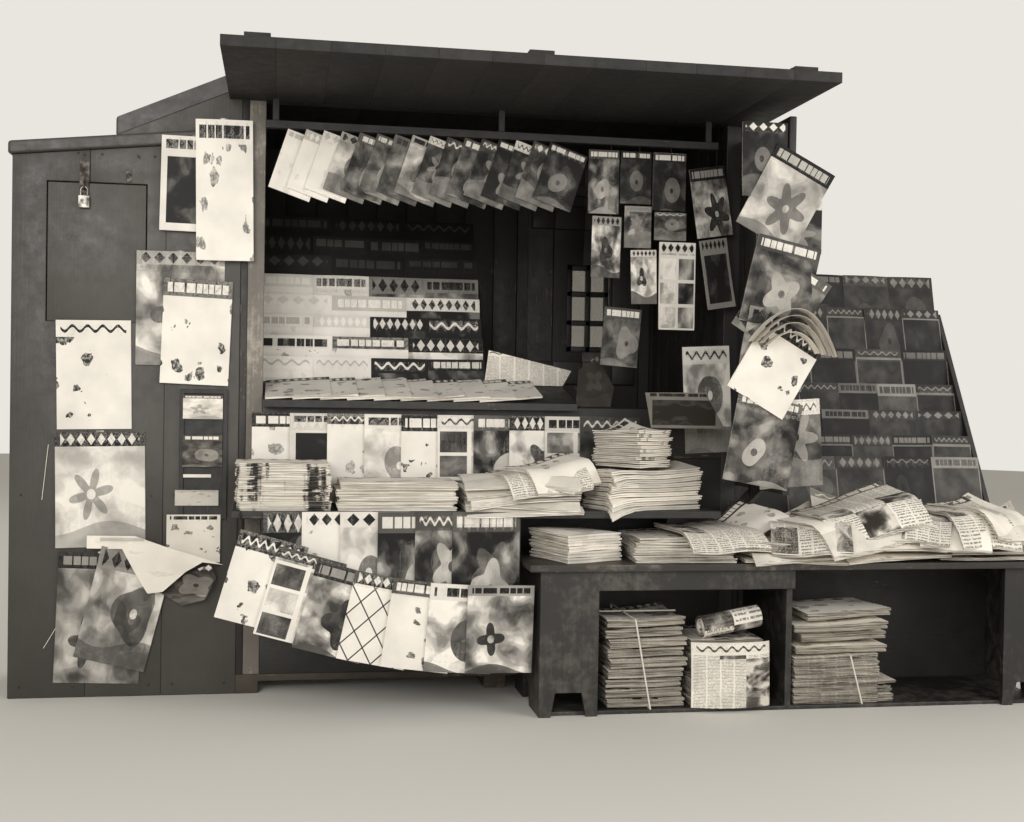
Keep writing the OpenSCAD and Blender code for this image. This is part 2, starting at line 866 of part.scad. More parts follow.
module upper_rack_magazines() {
    color("#8f897f")
        for (i = [0:upper_rows - 1])
            translate([upper_x, upper_y + i * upper_run, upper_z + i * upper_rise])
                rack_columns(i % 2 == 0 ? 3 : 4, upper_w, upper_mag_h);
}

module right_rack_magazines() {
    rows = len(rack_rises) - 1;
    color("#78736a")
        for (i = [0:rows])
            translate([rack_x, rack_y + i * rack_run,
                       rack_z + sum_to(rack_rises, i + 1) - rack_rises[0]])
                rack_columns(i % 2 == 0 ? 5 : 6, rack_w, rack_mag_h);
}

// Magazines that lie fanned on the upper shelf
module shelf_magazines() {
    count = 9;
    pitch = 84;
    roll = asin((mag_t + seat) / pitch);
    color("#cfc9be")
        translate([x_left + post_w, y_front - shelf_over, shelf_top(y_front - shelf_over)])
            rotate([shelf_slope, 0, 0]) {
                for (i = [0:count - 1])
                    translate([8 + i * pitch, 4, seat])
                        rotate([0, -roll, 0])
                            cube([weekly_w, 235, mag_t]);
            }
}

// Bent papers that stand on end: on the shelf, on the counter front and on the highest pile
module standing_papers() {
    shelf_back = y_front - shelf_over + shelf_d - 2;
    front_back = y_front + board_t;
    at_shelf = shelf_top(shelf_back) + seat;
    at_front = counter_z + counter_front_h + board_t * tan(shelf_slope) + seat;
    at_pile = counter_z + 130 + 4 * 30 + 2 * seat;
    end = x_left + shelf_w;
    color("#d2ccc0") {
        xz_board([[end - 270, at_shelf], [end, at_shelf], [end + 30, at_shelf + 52],
                  [end - 255, at_shelf + 117]], shelf_back - 10, 10);
        xz_board([[end + 6, at_front], [end + 122, at_front], [end + 134, at_front + 64],
                  [end + 74, at_front + 168], [end + 14, at_front + 118]],
                 front_back - mag_t, mag_t);
        xz_board([[466, at_pile], [700, at_pile], [703, at_pile + 14], [642, at_pile + 115],
                  [446, at_pile + 112]], ledge_y + 155, 10);
    }
}

// Weeklies that stand overlapped on the ledge and lean on the counter front
module counter_magazines() {
    count = 10;
    tilt = 3;
    pitch = 116;
    yaw = yaw_of(pitch, tilt);
    y = y_front - seat - weekly_w * sin(yaw)
        - (weekly_h * sin(tilt) + mag_t * cos(tilt)) * cos(yaw);
    color("#c4beb2")
        for (i = [0:count - 1])
            translate([x_left + 20 + i * pitch, y, counter_z])
                rotate([0, 0, yaw])
                    leaning(weekly_w, weekly_h, tilt);
}

module counter_stacks() {
    d = 245;
    color("#d6d0c4") {
        pile([x_left - 28, ledge_y + 4, counter_z], 290, d, 23, 6);
        pile([x_left + 266, ledge_y + 2, counter_z], 372, d, 21, 4);
        pile([x_left + 642, ledge_y + 4, counter_z], 380, d, 24, 4);
        pile([x_left + 1026, ledge_y + 6, counter_z], 408, d, 26, 5);
        pile([x_left + 1046, ledge_y + 12, counter_z + 130 + seat], 300, d - 12, 30, 4, 6);
    }
}

module lower_rack_magazines() {
    count = 6;
    span = bench_x0 - bench_over - x_left - 74 - weekly_w;
    pitch = span / (count - 1);
    yaw = yaw_of(pitch);
    y = ledge_y - seat - weekly_w * sin(yaw) - mag_t * cos(yaw);
    color("#9b958a")
        for (i = [0:count - 1])
            translate([x_left + 62 + i * pitch, y, counter_z - picture_h + 7 + seat])
                rotate([0, 0, yaw])
                    cube([weekly_w, mag_t, picture_h - 8]);
}

// Weeklies clipped along the front line, each turned with the slope of the line
module front_row_magazines() {
    count = 7;
    w = 200;
    h = 258;
    pitch = (bench_x0 - x_left - 12 - w) / (count - 1);
    yaw = yaw_of(pitch);
    y = front_y + 20 - wire_d / 2 - seat - mag_t * cos(yaw) - w * sin(yaw);
    color("#cdc7bb")
        for (i = [0:count - 1]) {
            u = i / count;
            slope = atan((line_at(u) - line_at(u + 1 / count)) / pitch);
            translate([x_left + i * pitch, y, line_at(u)])
                rotate([0, 0, yaw])
                    hung(w, h, min(slope, 16));
        }
}

// Magazines on the cabinet front: place from the booth, top, size, layer and turn
wing_list = [
    [-312, 1372, 264, 350, 0, 0], [-228, 1290, 206, 322, 1, 2], [-546, 1153, 219, 332, 0, -1],
    [-546, 812, 264, 352, 0, -1], [-530, 448, 252, 400, 0, 2], [-400, 470, 215, 352, 1, 14]
];

module wing_magazines() {
    layer_y = mag_t + seat;
    lid_y = y_front - lid_over;
    color("#c9c3b7") {
        for (m = wing_list)
            translate([x_out_l + m[0], y_front - (m[4] + 1) * layer_y, m[1]])
                hung(m[2], m[3], m[5]);
        translate([x_out_l - 240, lid_y - layer_y, 1726])
            hung(weekly_w, 290, 1);
        translate([x_out_l - 140, lid_y - 2 * layer_y, 1778])
            hung(172, 432, -1);
    }
}

// Magazines clipped to the front edge of the leaf: place, top, size, layer and turn
leaf_list = [
    [-150, 1776, 141, 222, 0, 0], [-40, 1716, 200, 270, 1, 28], [-100, 1548, 205, 160, 0, 0],
    [-100, 1442, 205, 262, 2, 12], [-36, 1396, 198, 262, 1, 32], [-122, 1228, 205, 230, 0, 8],
    [-60, 1212, 200, 258, 3, 30], [-150, 968, 205, 262, 2, 10], [-96, 940, 205, 262, 0, -4]
];

module leaf_magazines() {
    y0 = y_front - leaf_d;
    color("#aaa499")
        for (m = leaf_list)
            translate([x_right + m[0], y0 - (m[4] + 1) * (mag_t + seat), m[1]])
                hung(m[2], m[3], m[5]);
}

module bench_newspapers() {
    color("#d8d2c6") {
        pile([bench_x0 - 18, bench_y - 10, bench_z], 300, 290, 17, 5, 5);
        pile([bench_x0 + 288, bench_y - 6, bench_z], 330, 300, 15, 5, 5);
        pile([bench_x0 + 640, bench_y - 12, bench_z], 300, 280, 20, 4, 8);
        pile([bench_x0 + 950, bench_y - 10, bench_z], 330, 300, 22, 5, 8);
        pile([bench_x0 + 1290, bench_y - 4, bench_z], 330, 300, 22, 4, 8);
        pile([bench_x0 + 650, y_front - 104, bench_z], 330, 96, 18, 5, 5);
        pile([bench_x0 + 1000, y_front - 104, bench_z], 300, 96, 24, 6, 5);
    }
}

module newspaper_bundles() {
    x = divider_x + bench_t + 8;
    loose_t = 27;
    loose_layers = 6;
    color("#cbc5b9") {
        pile([bench_x0 + 204, bench_y + 24, bench_floor_t], 262, 300, 30, 9, 5);
        pile([x, bench_y + 24, bench_floor_t], 360, 300, loose_t, loose_layers, 6);
        pile([x + 6, bench_y + 28, bench_floor_t + loose_layers * loose_t], 330, 290, 25, 5, 7);
    }
}

// A folded newspaper on end and a rolled one on top of it
module folded_newspapers() {
    x = bench_x0 + 472;
    layer_t = 29;
    layers = 7;
    roll_r = 36;
    color("#d2ccc0") {
        pile([x, bench_y + 26, bench_floor_t], 248, 270, layer_t, layers, 7);
        translate([x + 50, bench_y + 70, bench_floor_t + layers * layer_t + roll_r + seat])
            rotate([0, 90, 0])
                cylinder(h = 196, r = roll_r, $fn = 48);
    }
}

floor_platform();
left_wall();
right_wall();
back_wall_left();
back_wall_right();
back_wall_over_door();
door_leaf();
door_glass();
door_fittings();
door_hinges();
frame_hinges();
roof();
lintel();
canopy_flap();
canopy_stays();
left_post();
right_post();
lower_front();
counter_ledge();
counter_front();
upper_shelf();
upper_rack();
lower_rack();
front_line();
hanging_rail();
display_wires();
cabinet_sides();
cabinet_back();
cabinet_floor();
cabinet_front();
cabinet_lid();
hatch();
hatch_fittings();
padlock();
gusset();
raking_cap();
notice_boards();
shutter_leaf();
right_rack();
bench_frame();
bench_top();
bench_back();
overhead_magazines();
hanging_magazines();
upper_rack_magazines();
shelf_magazines();
standing_papers();
counter_magazines();
counter_stacks();
lower_rack_magazines();
front_row_magazines();
wing_magazines();
leaf_magazines();
right_rack_magazines();
bench_newspapers();
newspaper_bundles();
folded_newspapers();
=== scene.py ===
import math
import random
from functools import partial

import bmesh
import bpy
from mathutils import Matrix, Vector


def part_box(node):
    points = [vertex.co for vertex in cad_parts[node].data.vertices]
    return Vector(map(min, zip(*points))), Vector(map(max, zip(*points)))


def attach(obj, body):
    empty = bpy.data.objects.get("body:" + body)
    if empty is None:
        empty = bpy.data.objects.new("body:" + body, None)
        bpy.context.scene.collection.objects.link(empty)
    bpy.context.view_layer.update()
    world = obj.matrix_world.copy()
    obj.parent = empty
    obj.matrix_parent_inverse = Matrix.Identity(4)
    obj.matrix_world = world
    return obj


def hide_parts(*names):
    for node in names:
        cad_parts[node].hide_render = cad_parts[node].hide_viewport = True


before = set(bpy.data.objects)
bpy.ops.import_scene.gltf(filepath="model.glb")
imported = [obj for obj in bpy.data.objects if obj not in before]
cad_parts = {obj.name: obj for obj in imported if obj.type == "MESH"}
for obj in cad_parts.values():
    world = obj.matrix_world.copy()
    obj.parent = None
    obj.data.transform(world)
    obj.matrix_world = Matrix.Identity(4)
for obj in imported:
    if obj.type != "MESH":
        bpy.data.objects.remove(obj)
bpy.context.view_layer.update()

# Camera
# The view of a passer-by in front of the newsstand, at chest height and a little left of its
# middle, turned ten degrees to the right and held a degree out of level.
eye = Vector((-0.69, -4.65, 0.97))
heading, nod, roll = (math.radians(a) for a in (-10, 88.99, 0.97))
scene = bpy.context.scene
camera = bpy.data.objects.new("camera", bpy.data.cameras.new("camera"))
scene.collection.objects.link(camera)
camera.matrix_world = (Matrix.Translation(eye) @ Matrix.Rotation(heading, 4, "Z")
                       @ Matrix.Rotation(nod, 4, "X") @ Matrix.Rotation(roll, 4, "Z"))
camera.data.lens = 45.9
camera.data.sensor_width = 36
scene.camera = camera


# Studio
# A pale matt floor and a pale surround, a large soft lamp high on the left in front, weaker
# ones low in front, on the right and behind, and a little light from all round.
def linear(code):
    """The linear colour of an sRGB hex value."""
    parts = [int(code[i:i + 2], 16) / 255 for i in (1, 3, 5)]
    return [c / 12.92 if c < 0.04045 else ((c + 0.055) / 1.055) ** 2.4 for c in parts] + [1]


def feed(node, plugs):
    """Gives a node's inputs, by order or by name, their values or other nodes' outputs."""
    for socket, value in plugs.items():
        if isinstance(value, bpy.types.NodeSocket):
            node.id_data.links.new(value, node.inputs[socket])
        else:
            node.inputs[socket].default_value = value


def wire(tree, kind, *plugs, out=0, **named):
    """Adds a shader node and returns one of its outputs. kind may end in an operation, as in
    "Math.SINE". Inputs go by order, or by name with a capital letter; other names are settings."""
    kind, _, operation = kind.partition(".")
    made = tree.nodes.new("ShaderNode" + kind)
    if operation:
        made.operation = operation
    inputs = {}
    for place, plug in enumerate(plugs):
        inputs.update(plug if isinstance(plug, dict) else {place: plug})
    for name, value in named.items():
        if name[0].isupper():
            inputs[name] = value
        else:
            setattr(made, name, value)
    feed(made, inputs)
    return made.outputs[out] if len(made.outputs) else None


def new_finish(name):
    """A new material, its shader and a function that adds nodes to its tree."""
    made = bpy.data.materials.new(name)
    made.use_nodes = True
    tree = made.node_tree
    return made, tree.nodes["Principled BSDF"], partial(wire, tree)


world = bpy.data.worlds.new("pale_room")
scene.world = world
world.use_nodes = True
world.node_tree.nodes.clear()
add = partial(wire, world.node_tree)
seen, mirrored, through = [add("LightPath", out=f"Is {ray} Ray")
                           for ray in ("Camera", "Glossy", "Transmission")]
direct = add("Math.MAXIMUM", add("Math.MAXIMUM", seen, mirrored), through)
strength = add("MapRange", direct, 0.0, 1.0, 0.5, 1.0)
add("OutputWorld", add("Background", linear("#e9e6df"), strength))

disc = bmesh.new()
bmesh.ops.create_circle(disc, segments=64, radius=14, cap_ends=True)
floor_mesh = bpy.data.meshes.new("studio_floor")
disc.to_mesh(floor_mesh)
disc.free()
floor = bpy.data.objects.new("studio_floor", floor_mesh)
scene.collection.objects.link(floor)
floor_paint, shader, add = new_finish("matt_studio_floor")
feed(shader, {"Base Color": linear("#d9d5cc"), "Roughness": 0.9})
floor_mesh.materials.append(floor_paint)

lit_spot = Vector((0.1, 0, 0.9))
for lamp, place, size, power in [("key", (-2.5, -5.6, 2.8), 2.4, 142),
                                 ("front", (-0.2, -6.2, 1.2), 3.0, 68),
                                 ("fill", (3.8, -4.2, 2.6), 3.0, 110),
                                 ("back", (1.5, 4.6, 4.2), 3.0, 120)]:
    soft = bpy.data.lights.new(lamp, "AREA")
    soft.size = size
    soft.energy = power
    holder = bpy.data.objects.new(lamp, soft)
    facing = (lit_spot - Vector(place)).to_track_quat("-Z", "Y").to_matrix().to_4x4()
    holder.matrix_world = Matrix.Translation(place) @ facing
    scene.collection.objects.link(holder)
scene.view_settings.view_transform = "Standard"


# Boarding
# Walls, roof, flap and floor are softwood boards nailed side by side. Each is cut from its slab
# along the joints, its edges are eased, and it takes the paint a little unlike the next.
def welded(node):
    """The mesh of a CAD node, its triangles joined at their corners."""
    whole = bmesh.new()
    whole.from_mesh(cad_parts[node].data)
    bmesh.ops.remove_doubles(whole, verts=whole.verts, dist=1e-5)
    return whole


def shells(mesh):
    """The separate shells of a mesh, each as a list of its vertices, in the mesh's own order."""
    mesh.verts.index_update()
    met, found = set(), []
    for start in mesh.verts:
        if start.index in met:
            continue
        met.add(start.index)
        shell = [start]
        for vertex in shell:
            for other in (e.other_vert(vertex) for e in vertex.link_edges):
                if other.index not in met:
                    met.add(other.index)
                    shell.append(other)
        found.append(shell)
    return found


def boarded(node, along, pitch, seed):
    """Saws a wooden slab of the frame into boards across one axis and returns their mesh."""
    ease = 0.0025
    rng = random.Random(seed)
    slab = welded(node)
    bmesh.ops.dissolve_limit(slab, angle_limit=0.01, verts=slab.verts, edges=slab.edges)
    low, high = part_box(node)
    axis = "xyz".index(along)
    normal = [float(i == axis) for i in range(3)]
    count = max(1, round((high[axis] - low[axis]) / pitch))
    for k in range(1, count):
        at = list(low)
        at[axis] += (high[axis] - low[axis]) * k / count
        cut = bmesh.ops.bisect_plane(slab, geom=slab.verts[:] + slab.edges[:] + slab.faces[:],
                                     plane_co=at, plane_no=normal)
        joint = [e for e in cut["geom_cut"] if isinstance(e, bmesh.types.BMEdge)]
        bmesh.ops.split_edges(slab, edges=joint)
    open_edges = [e for e in slab.edges if e.is_boundary]
    if open_edges:
        bmesh.ops.holes_fill(slab, edges=open_edges, sides=0)
    tag = slab.verts.layers.float.new("board")
    for board in shells(slab):
        shade = rng.random()
        for v in board:
            v[tag] = shade
    sharp = [e for e in slab.edges if len(e.link_faces) == 2 and e.calc_face_angle(0) > 0.4]
    bmesh.ops.bevel(slab, geom=sharp, offset=ease, offset_type="OFFSET", affect="EDGES",
                    segments=2, profile=0.5, material=-1, clamp_overlap=True)
    bmesh.ops.recalc_face_normals(slab, faces=slab.faces)
    return slab


def shown(name, made, finishes, slot, *nodes, body="kiosk"):
    """Makes an object of a finished mesh, which rides on a body and stands for CAD nodes."""
    mesh = bpy.data.meshes.new(name)
    made.to_mesh(mesh)
    made.free()
    for finish in finishes:
        mesh.materials.append(finish)
    mesh.shade_smooth()
    mesh.set_sharp_from_angle(angle=math.radians(32))
    piece = bpy.data.objects.new(name, mesh)
    scene.collection.objects.link(piece)
    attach(piece, body)
    if nodes:
        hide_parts(*nodes)


def painted_boards(name, paint, dusty, bare, grain, gloss, wear, soft=0.03, streaky=1.0):
    """Oil paint brushed on softwood: the grain stands through it, dust lies in it, and it has worn
    thin in streaks or soft patches. grain is the number of the axis that the boards run along."""
    coat, shader, add = new_finish(name)
    place = add("TexCoord", out="Object")
    board = add("Attribute", out="Fac", attribute_name="board")
    apart = add("VectorMath.ADD", place, add("CombineXYZ", board, board, board))
    # grain lines lie 6 to 7 mm apart, coarser than real so that they show, among clouds of dust
    # 0.4 m wide and knocks of 40 mm
    stretch = [38.0] * 3
    stretch[grain] = 1.6
    fibres = add("Mapping", apart, Scale=stretch)
    streaks = add("TexNoise", Vector=fibres, Scale=4.0, Detail=6.0, Roughness=0.62)
    clouds = add("TexNoise", Vector=apart, Scale=2.3, Detail=5.0, Roughness=0.6)
    knocks = add("TexNoise", Vector=apart, Scale=26.0, Detail=8.0, Roughness=0.7)
    tone = add("Mix", {0: add("MapRange", clouds, 0.35, 0.7), 6: linear(paint), 7: linear(dusty)},
               data_type="RGBA", out=2)
    by_board = add("MapRange", board, 0.0, 1.0, 0.75, 1.3)
    tone = add("VectorMath.SCALE", tone, Scale=by_board)
    fibre = add("Mix", {0: streaky, 2: 0.5, 3: streaks})
    rubbed = add("Math.MULTIPLY", add("Math.MULTIPLY", clouds, knocks), fibre)
    worn = add("MapRange", rubbed, wear, wear + soft)
    tone = add("Mix", {0: worn, 6: tone, 7: linear(bare)}, data_type="RGBA", out=2)
    sheen = add("MapRange", knocks, 0.3, 0.7, gloss, gloss + 0.25)
    relief = add("Math.ADD", add("Math.MULTIPLY", streaks, 0.8), add("Math.MULTIPLY", worn, -0.5))
    bump = add("Bump", Height=relief, Distance=0.0016, Strength=0.55)
    feed(shader, {"Base Color": tone, "Roughness": sheen, "IOR": 1.5, "Normal": bump})
    return coat


black = ("#1d1a17", "#2c2824", "#5a5146")
booth_up = painted_boards("black_oil_paint_upright", *black, 2, 0.45, 0.2)
booth_across = painted_boards("black_oil_paint_across", *black, 0, 0.45, 0.2)
tarred = painted_boards("tarred_boards", "#171513", "#24211d", "#37322b", 1, 0.6, 0.25)
trodden = painted_boards("trodden_deck", "#3f372e", "#574c3f", "#7a6b57", 0, 0.65, 0.16)

board_w = 0.118
for seed, (node, along) in enumerate([("left_wall", "y"), ("right_wall", "y"),
                                      ("back_wall_left", "x"), ("back_wall_right", "x"),
                                      ("back_wall_over_door", "x")], 1):
    shown(node + "_boards", boarded(node, along, board_w, seed), [booth_up], "booth_paint", node)
shown("roof_boarding", boarded("roof", "x", 0.15, 6), [tarred], "roof_boards", "roof")
shown("flap_boarding", boarded("canopy_flap", "x", 0.144, 7), [tarred], "booth_paint",
      "canopy_flap")
shown("deck", boarded("floor_platform", "y", 0.13, 8), [trodden], "deck_boards", "floor_platform")
for seed, node, wide_board in ((9, "lower_front", 0.13), (10, "counter_front", 0.16)):
    shown(node + "_boards", boarded(node, "z", wide_board, seed), [booth_across], "booth_paint",
          node)


# Posts, lintel, ledge and shelf
# Planed softwood boards and square posts, nailed up and painted with the booth. Hands and stock
# have worn their arrises round.
def eased(node, finish, width=0.002, segments=2):
    """Gives a CAD node its finish and eases its arrises."""
    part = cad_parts[node]
    part.data.materials.clear()
    part.data.materials.append(finish)
    weld = part.modifiers.new("one_skin", "WELD")
    weld.merge_threshold = 0.00001
    ease = part.modifiers.new("eased_arris", "BEVEL")
    ease.width = width
    ease.segments = segments
    ease.limit_method = "ANGLE"
    ease.angle_limit = math.radians(30)


eased("right_post", booth_up)
for board in ("lintel", "counter_ledge", "upper_shelf", "lower_rack", "hanging_rail"):
    eased(board, booth_across)


# Rear door
# A ledged door of upright boards on two butt hinges, with stops and packing on its frame, a
# small six-pane window and a brass knob on each side.
def stick(whole, middle, size, ease=0.0, base=Matrix()):
    """Adds a squared stick round a point of a base, its arrises eased where asked."""
    made = bmesh.ops.create_cube(whole, size=1, matrix=base @ Matrix.Translation(middle)
                                 @ Matrix.Diagonal((*size, 1)))
    if ease:
        rim = list(dict.fromkeys(e for v in made["verts"] for e in v.link_edges))
        bmesh.ops.bevel(whole, geom=rim, offset=ease, affect="EDGES", segments=2, profile=0.5,
                        material=-1)


shown("door_boards", boarded("door_leaf", "x", 0.122, 11), [booth_up], "booth_paint", "door_leaf",
      body="door")
low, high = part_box("door_leaf")
stops = bmesh.new()
lap, stop_w, stop_d, stop_y = 0.012, 0.04, 0.017, 0.4865
packing_w, packing_d, packing_y = stop_w - lap - 0.006, 0.005, 0.4975
for left, outer in ((low.x - stop_w + lap, 0), (high.x - lap, stop_w - packing_w)):
    for x, y, w, d in ((left, stop_y, stop_w, stop_d),
                       (left + outer, packing_y, packing_w, packing_d)):
        stick(stops, (x + w / 2, y, 0.92), (w, d, 1.72))
stick(stops, (0.5, stop_y, high.z + stop_d / 2), (0.56, stop_d, stop_w))
shown("door_stops", stops, [booth_up], "booth_paint")

# drawn sheet glass, clear between patches of dust some 70 mm wide that dull its shine
pane, shader, add = new_finish("dusty_window_glass")
dust = add("TexNoise", Vector=add("TexCoord", out="Object"), Scale=14.0, Detail=6.0)
feed(shader, {"Base Color": linear("#aba79e"), "Transmission Weight": 0.65, "IOR": 1.5,
              "Roughness": add("MapRange", dust, 0.3, 0.75, 0.05, 0.35)})
eased("door_glass", pane, 0.0003)

bars = bmesh.new()
bar_w, bar_d, off_glass = 0.022, 0.009, 0.0065
low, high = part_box("door_glass")
middle, span = (low + high) / 2, high - low
laths = [(x, middle.z, bar_w, span.z) for x in (middle.x, low.x + bar_w / 2, high.x - bar_w / 2)]
laths += [(middle.x, z, span.x, bar_w)
          for z in (low.z + span.z / 3, low.z + span.z * 2 / 3, low.z + bar_w / 2,
                    high.z - bar_w / 2)]
for y in (middle.y - off_glass, middle.y + off_glass):
    for x, z, w, h in laths:
        stick(bars, (x, y, z), (w, bar_d, h), 0.0022)
shown("window_bars", bars, [booth_up], "booth_paint", body="door")


# Ironwork, knobs and padlock
# Forged iron hinges, stays, hasp and wires under blacking, a turned brass knob on each side of
# the door, and a plated steel padlock, all dulled by weather and handling.
def dull_metal(name, colour, spots, rough, metal=1.0):
    """Iron, brass or steel with stains of tarnish some 17 mm wide and fine pits, which are drawn
    2 mm wide so that they show."""
    skin, shader, add = new_finish(name)
    place = add("TexCoord", out="Object")
    stains = add("TexNoise", Vector=place, Scale=60.0, Detail=6.0)
    pits = add("TexNoise", Vector=place, Scale=420.0, Detail=3.0)
    tone = add("Mix", {0: add("MapRange", stains, 0.4, 0.65), 6: linear(colour), 7: linear(spots)},
               data_type="RGBA", out=2)
    sheen = add("MapRange", stains, 0.35, 0.7, rough, rough + 0.3)
    bump = add("Bump", Height=pits, Distance=0.0003, Strength=0.5)
    feed(shader, {"Base Color": tone, "Roughness": sheen, "Normal": bump, "Metallic": metal})
    return skin


black_iron = dull_metal("blackened_iron", "#4b4640", "#2a2622", 0.42, 0.8)
brass = dull_metal("tarnished_brass", "#a89c80", "#6b6250", 0.3)
plated = dull_metal("plated_lock_steel", "#a5a199", "#5f5a52", 0.4)
for iron in ("door_hinges", "frame_hinges", "canopy_stays", "hatch_fittings"):
    eased(iron, black_iron, 0.0006)
for thin_wire in ("front_line", "display_wires"):
    eased(thin_wire, black_iron, 0.0002)
eased("door_fittings", brass, 0.0008)
eased("padlock", plated, 0.0012)


# Cabinet
# A tall locker of wide boards in worn dark grey paint, with a padlocked hatch, a sloping lid
# and a boarded gusset with a raking cap up to the booth's roof.
cabinet_up = painted_boards("grey_oil_paint_upright", "#37332e", "#46423c", "#857c6d", 2,
                            0.4, 0.235)
cabinet_across = painted_boards("grey_oil_paint_across", "#36322d", "#4a4540", "#857c6d", 0,
                                0.36, 0.235)
corner_coat = painted_boards("rubbed_grey_paint", "#655e55", "#857d72", "#a39b8d", 2,
                             0.45, 0.14, 0.08, 0.5)
front_board = 0.226
for seed, (node, along, pitch) in enumerate([
        ("cabinet_front", "x", front_board), ("cabinet_sides", "y", 0.214),
        ("cabinet_back", "x", 0.211), ("hatch", "x", 0.3), ("gusset", "x", 0.4)], 21):
    shown(node + "_boards", boarded(node, along, pitch, seed), [cabinet_up], "cabinet_paint", node)
eased("cabinet_floor", cabinet_across, 0.003)
eased("cabinet_lid", cabinet_across, 0.009, 4)
eased("raking_cap", cabinet_across, 0.006)
eased("notice_boards", booth_up, 0.0012)
eased("left_post", corner_coat)


# Racks, shutter and bench
# Stepped racks of slats between side boards, the boarded shutter leaf, and the bench of heavy
# boards whose paint is rubbed to the wood at its front stiles.
bench_coat = painted_boards("scuffed_bench_paint", "#1b1815", "#2b2722", "#5e5850", 2,
                            0.42, 0.12, 0.13, 0.2)
bench_top_coat = painted_boards("scuffed_bench_top_paint", "#26221d", "#38322b", "#6e665b", 0,
                                0.42, 0.13, 0.08, 0.3)
eased("upper_rack", booth_up)
eased("right_rack", booth_up)
shown("shutter_boards", boarded("shutter_leaf", "y", 0.14, 31), [booth_up], "booth_paint",
      "shutter_leaf")
eased("bench_frame", bench_coat, 0.0025)
eased("bench_back", booth_across)
eased("bench_top", bench_top_coat, 0.003)


# Magazines
# Stapled magazines: a block of trimmed pages between two thin printed covers that stand out a
# little past it. Each is bent as paper is where it hangs, leans or lies.
COVER, PAGES, BLOTCHED = 0, 1, 2
UPRIGHT = Matrix.Rotation(math.pi / 2, 4, "X")


def gather(whole, part):
    """Adds a finished small mesh to the mesh of its group."""
    passing = bpy.data.meshes.new("passing")
    part.to_mesh(passing)
    part.free()
    whole.from_mesh(passing)
    bpy.data.meshes.remove(passing)


def blank_print():
    """An empty mesh with the two layers that a printed finish reads."""
    mesh = bmesh.new()
    return mesh, mesh.loops.layers.uv.new("print"), mesh.verts.layers.float_color.new("issue")


def thicken(mesh, faces, thick):
    """Pushes faces straight back by a thickness, with new sides round them."""
    back = bmesh.ops.extrude_face_region(mesh, geom=faces)
    moved = [g for g in back["geom"] if isinstance(g, bmesh.types.BMVert)]
    bmesh.ops.translate(mesh, verts=moved, vec=(0, thick, 0))


def printed_block(whole, size, layers, issue, bend, place, cells=(6, 8), side=PAGES, spine=None):
    """Adds an upright magazine or folded newspaper with its front at -Y: sheets and blocks one
    behind another, bent and then set in its place. spine finishes its lower side, where folded."""
    block, _, tag = blank_print()
    w, h, t = size
    depth = -t / 2
    for share, inset, skin in layers:
        lay = (Matrix.Translation((0, depth, 0))
               @ Matrix.Diagonal((w - 2 * inset, 1, h - 2 * inset, 1)) @ UPRIGHT)
        grid = bmesh.ops.create_grid(block, x_segments=cells[0], y_segments=cells[1], size=0.5,
                                     matrix=lay, calc_uvs=True)
        faces = list(dict.fromkeys(f for v in grid["verts"] for f in v.link_faces))
        for f in faces:
            f.material_index = skin
        thicken(block, faces, share * t)
        depth += share * t
    bmesh.ops.recalc_face_normals(block, faces=block.faces)
    for f in block.faces:
        if abs(f.normal.y) < 0.5:
            f.material_index = side if spine is None or f.normal.z > -0.5 else spine
    for v in block.verts:
        v[tag] = issue
        v.co.y += bend(v.co.x / w + 0.5, v.co.z / h + 0.5)
    block.transform(place)
    gather(whole, block)


def places_of(node, flat=False):
    """Size and place of each flat block of a CAD node, front to -Y, or to +Z where it lies."""
    whole = welded(node)
    rise = 1 if flat else 2
    found = []
    for block in shells(whole):
        corners = sorted((v.co.copy() for v in block), key=lambda c: tuple(round(a, 6) for a in c))
        rays = sorted((c - corners[0] for c in corners[1:]), key=lambda r: r.length)
        thin = rays[0]
        wide = [r for r in rays[1:] if abs(r.dot(thin)) < 1e-4 * r.length * thin.length + 1e-9]
        across, up = sorted(wide[:2], key=lambda r: abs(r.normalized()[rise]))
        size = (across.length, up.length, thin.length)
        up = up.normalized() * (1 if up[rise] > 0 else -1)
        back = thin.normalized()
        if (back.z > 0) if flat else (back.y < 0):
            back = -back
        turn = Matrix((back.cross(up), back, up)).transposed().to_4x4()
        centre = sum(corners, Vector()) / len(corners)
        found.append((size, Matrix.Translation(centre) @ turn))
    whole.free()
    return sorted(found, key=lambda f: tuple(round(a, 4) for a in f[1].translation))


